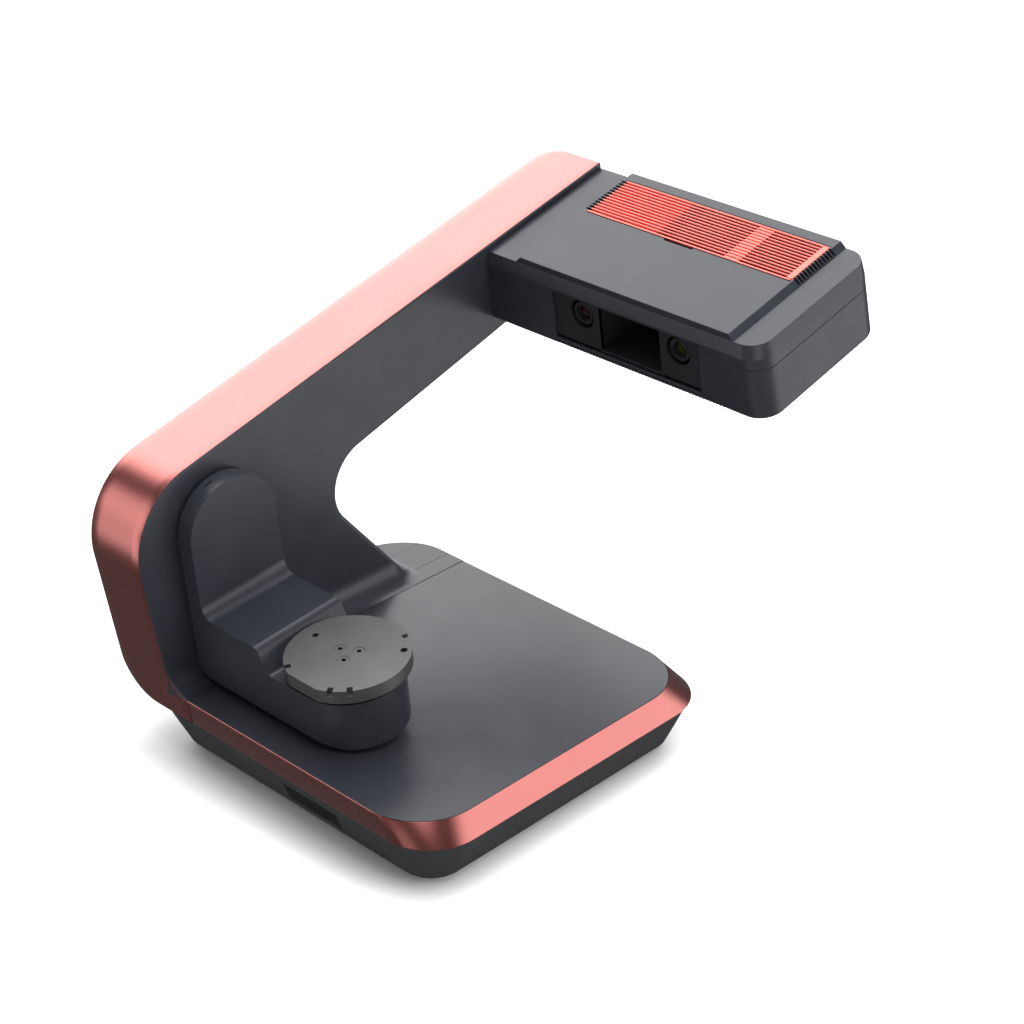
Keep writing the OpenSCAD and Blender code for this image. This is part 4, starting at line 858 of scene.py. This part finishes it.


# Coated glass: nearly black, with a painted glint on its dome in its base colour and coat tint, reddish on the
# left lens and yellowish on the right
for name, x, glint_colour in (("left", left_camera, "#3A0E12"), ("right", right_camera, "#2E2C0C")):
    coated_glass, tree, shader = start("coated_lens_glass_" + name)
    spot = add(tree, "ShaderNodeTexCoord").outputs["Object"]
    # Painted glint: noise blotches mix near black to this lens's glint colour
    painted_glint = add(tree, "ShaderNodeTexNoise", {"Vector": spot, "Scale": 140, "Detail": 1})
    painted_glint = add(tree, "ShaderNodeMix", {
        0: painted_glint.outputs[0], 6: linear("#050506"), 7: linear(glint_colour)}, data_type="RGBA")
    dust = add(tree, "ShaderNodeTexNoise", {"Vector": spot, "Scale": 2500, "Detail": 1})
    dust = add(tree, "ShaderNodeMapRange", {"Value": dust.outputs[0], "To Min": 0.03, "To Max": 0.09})
    shader.inputs["IOR"].default_value = 1.6
    shader.inputs["Coat Weight"].default_value = 1.0
    shader.inputs["Coat Tint"].default_value = linear("#C9A6FF" if name == "left" else "#E8F0A0")
    tree.links.new(painted_glint.outputs[2], shader.inputs["Base Color"])
    tree.links.new(dust.outputs[0], shader.inputs["Roughness"])
    dome = [(0.01, 4.6), (2.0, 4.72), (3.6, 5.1), (4.8, 5.7), (5.4, 6.2), (5.4, 7.0), (0.01, 7.0)]
    lens = turned_part("camera_glass_" + name, x, camera_z, dome, coated_glass)
    finish(lens, "stand", "glass_black", *(("lens_glasses",) if name == "left" else ()))
    barrel = [
        (5.4, 6.8), (5.4, 5.4), (6.0, 5.1), (6.0, 4.4), (6.9, 4.4), (6.9, 3.6),
        (8.05, 3.6), (8.05, 14), (5.4, 14)]
    cell = turned_part("camera_cell_" + name, x, camera_z, barrel, port_black)
    finish(cell, "stand", "black_plastic", *(("camera_lenses",) if name == "left" else ()))
front_glass = [
    (9.1, 37), (9.1, 30.4), (8.3, 30.4), (8.3, 36.1), (7.4, 36.1), (6, 35.2), (3, 34.4), (0.01, 34.2)]
lens = turned_part("projector_front_lens", projector_x, projector_z, front_glass, coated_glass)
finish(lens, "stand", "glass_black", "projector_lens")

# ---- Swing arm ----
# The arm that tilts the turntable: one thin ABS moulding, painted as the stand, an upright with a round
# head on the tilt shaft and a tray that reaches out under the plate. Flat covers close its back and floor.
shaft_y, shaft_z, swing_rest = 43.6, 104.8, 5.65
half_w, tray_x, tray_low = 34, 110, -99.5
swing = stand @ Matrix.Translation((0, shaft_y, shaft_z)) @ Matrix.Rotation(math.radians(swing_rest), 4, "X")
east, north, west, south = Vector((1, 0)), Vector((0, 1)), Vector((-1, 0)), Vector((0, -1))
slope = Vector((16, 9.5)).normalized()
slope_c = slope.dot(Vector((65, -50)))
knee = meet(slope, slope_c - 6, north, -56)
toe = meet(-slope, -slope_c - 4, south, 62)
# Its section seen from the front, which is then cut to the round head seen from the side and to the tray
# seen from above
profile = [Vector((3, tray_low)), Vector((3, 36)), Vector((15.6, 36))]
profile += arc(Vector((25.6, -40)), 10, west, south, 20)
profile += arc(knee, 6, north, slope, 12) + arc(toe, 4, -slope, south, 8)
profile += [Vector((146, -66)), Vector((146, tray_low))]
bm = bmesh.new()
prism(bm, profile, -36, 36, "y")
tray = make("swing_arm_shell", bm, swing, shell_paint)
bm = bmesh.new()
hub_at, tray_at = Vector((0, 0)), Vector((tray_x, 0))
side = [Vector((half_w, -101)), Vector((half_w, 0))] + arc(hub_at, half_w, east, north, 32)[1:]
side += arc(hub_at, half_w, north, west, 32)[1:] + [Vector((-half_w, -101))]
prism(bm, side, 0, 150, "x")
cut(tray, bm, swing, "INTERSECT")
bm = bmesh.new()
plan = [Vector((-1, -half_w)), Vector((tray_x, -half_w))] + arc(tray_at, half_w, south, east, 32)[1:]
plan += arc(tray_at, half_w, east, north, 32)[1:] + [Vector((-1, half_w))]
prism(bm, plan, -101, 40)
cut(tray, bm, swing, "INTERSECT")
# What the arm sweeps as it tilts is turned about the shaft: it clears the plate and the hollow at the foot
to_hollow = shaft_z - foot_r
sweep = [(-1, to_hollow), (1.4, to_hollow)]
for i in range(19):
    a = math.radians(5 * i)
    sweep.append((foot_r - 14.6 * math.cos(a), to_hollow + 14.3 * math.sin(a)))
sweep.append((150, to_hollow + 14.3))
bm = bmesh.new()
loft(bm, [[(x, a, b) for a, b in circle(0, 0, r, 180)] for x, r in sweep])
cut(tray, bm, swing, "INTERSECT")
# The room for the turntable, and for the bearing's boss under it
for r, steps, low, high in ((40.5, 120, -66, -40), (14, 48, -72, -60)):
    bm = bmesh.new()
    prism(bm, circle(tray_x, 0, r, steps), low, high)
    cut(tray, bm, swing)
# A small slot for the tool that frees the shaft, on top of the round head
bm = bmesh.new()
block(bm, 7.2, 8.4, -3.5, 2.5, 32.5, 36)
cut(tray, bm, swing @ Matrix.Rotation(math.radians(14), 4, "X"))
soften(tray, 2.4, 30, 5)
finish(tray, "swing_arm", "satin_dark_shell", "swing_shell", "swing_back_cover", "swing_bottom_cover")

# ---- Turntable ----
# A disc turned from steel bar, blackened and then faced again, so that its top shows fine rings. Three
# countersunk screws hold it to the spindle; notches and holes take the fixtures.
disc_r, flat_r, disc_top, disc_low = 39, 37, -52, -61
table = swing @ Matrix.Translation((tray_x, 0, 0))
turned_steel, tree, shader = start("faced_grey_oxide_steel")
spot = add(tree, "ShaderNodeTexCoord").outputs["Object"]
hub = table @ Vector((0, 0, disc_top))
from_hub = add(tree, "ShaderNodeVectorMath", {0: spot, 1: hub}, operation="SUBTRACT")
reach = add(tree, "ShaderNodeVectorMath", {0: from_hub.outputs[0]}, operation="LENGTH")
# The tool feeds about 0.15 mm a turn; its rings are drawn 0.7 mm apart, as coarse as shows
groove = 0.0007
turns = add(tree, "ShaderNodeMath", {
    0: reach.outputs["Value"], 1: 2 * math.pi / groove}, operation="MULTIPLY")
rings = add(tree, "ShaderNodeMath", {0: turns.outputs[0]}, operation="SINE")
tone = add(tree, "ShaderNodeTexNoise", {"Vector": spot, "Scale": 45, "Detail": 5})
tone = add(tree, "ShaderNodeMix", {
    0: tone.outputs[0], 6: linear("#5B5B5B"), 7: linear("#6A6A69")}, data_type="RGBA")
bump = add(tree, "ShaderNodeBump", {"Height": rings.outputs[0], "Strength": 0.06, "Distance": 0.00002})
shader.inputs["Metallic"].default_value = 0.8
shader.inputs["Roughness"].default_value = 0.42
tree.links.new(tone.outputs[2], shader.inputs["Base Color"])
tree.links.new(bump.outputs[0], shader.inputs["Normal"])

bm = bmesh.new()
flat_at = math.degrees(math.acos(flat_r / disc_r))
disc = []
for k in range(145):
    a = math.radians(-90 + flat_at + (360 - 2 * flat_at) * k / 144)
    disc.append((disc_r * math.cos(a), disc_r * math.sin(a)))
prism(bm, disc, disc_low, disc_top)
plate = make("turntable_disc", bm, table, turned_steel)
screw_places = [(7 * math.cos(math.radians(a)), 7 * math.sin(math.radians(a))) for a in (177, 57, -63)]
for x, y in screw_places:
    bm = bmesh.new()
    countersink = ((1.7, -62), (1.7, -54.6), (3.9, -51.9), (3.9, -51))
    loft(bm, [[(a, b, z) for a, b in circle(x, y, r, 36)] for r, z in countersink])
    cut(plate, bm, table)
# Two locating holes, then the notches at the rim
for a, out_mm, r in ((180, 29, 2.0), (43, 34, 2.2)):
    bm = bmesh.new()
    x, y = out_mm * math.cos(math.radians(a)), out_mm * math.sin(math.radians(a))
    prism(bm, circle(x, y, r, 36), -56, -51)
    cut(plate, bm, table)
for a in (66, -41, -59, -120):
    bm = bmesh.new()
    block(bm, 35, 42, -1.8, 1.8, -56, -51)
    cut(plate, bm, table @ Matrix.Rotation(math.radians(a), 4, "Z"))
soften(plate, 0.3, 30)
finish(plate, "turntable", "plate_grey", "turntable_plate")

screw_steel = sheet_metal("plain_screw_steel", "#77777A", 0.8, 0.4, "#646467")
bm = bmesh.new()
screw = ((1.5, -60), (1.5, -55.0), (3.5, -52.7), (3.5, -52.4), (1.5, -52.4), (1.5, -54.2))
for x, y in screw_places:
    loft(bm, [[(a, b, z) for a, b in circle(x, y, r, 36)] for r, z in screw])
screws = make("turntable_screws", bm, table, screw_steel)
screws.data.shade_smooth()
screws.data.set_sharp_from_angle(angle=math.radians(30))
finish(screws, "turntable", "black_screw", "plate_screws")
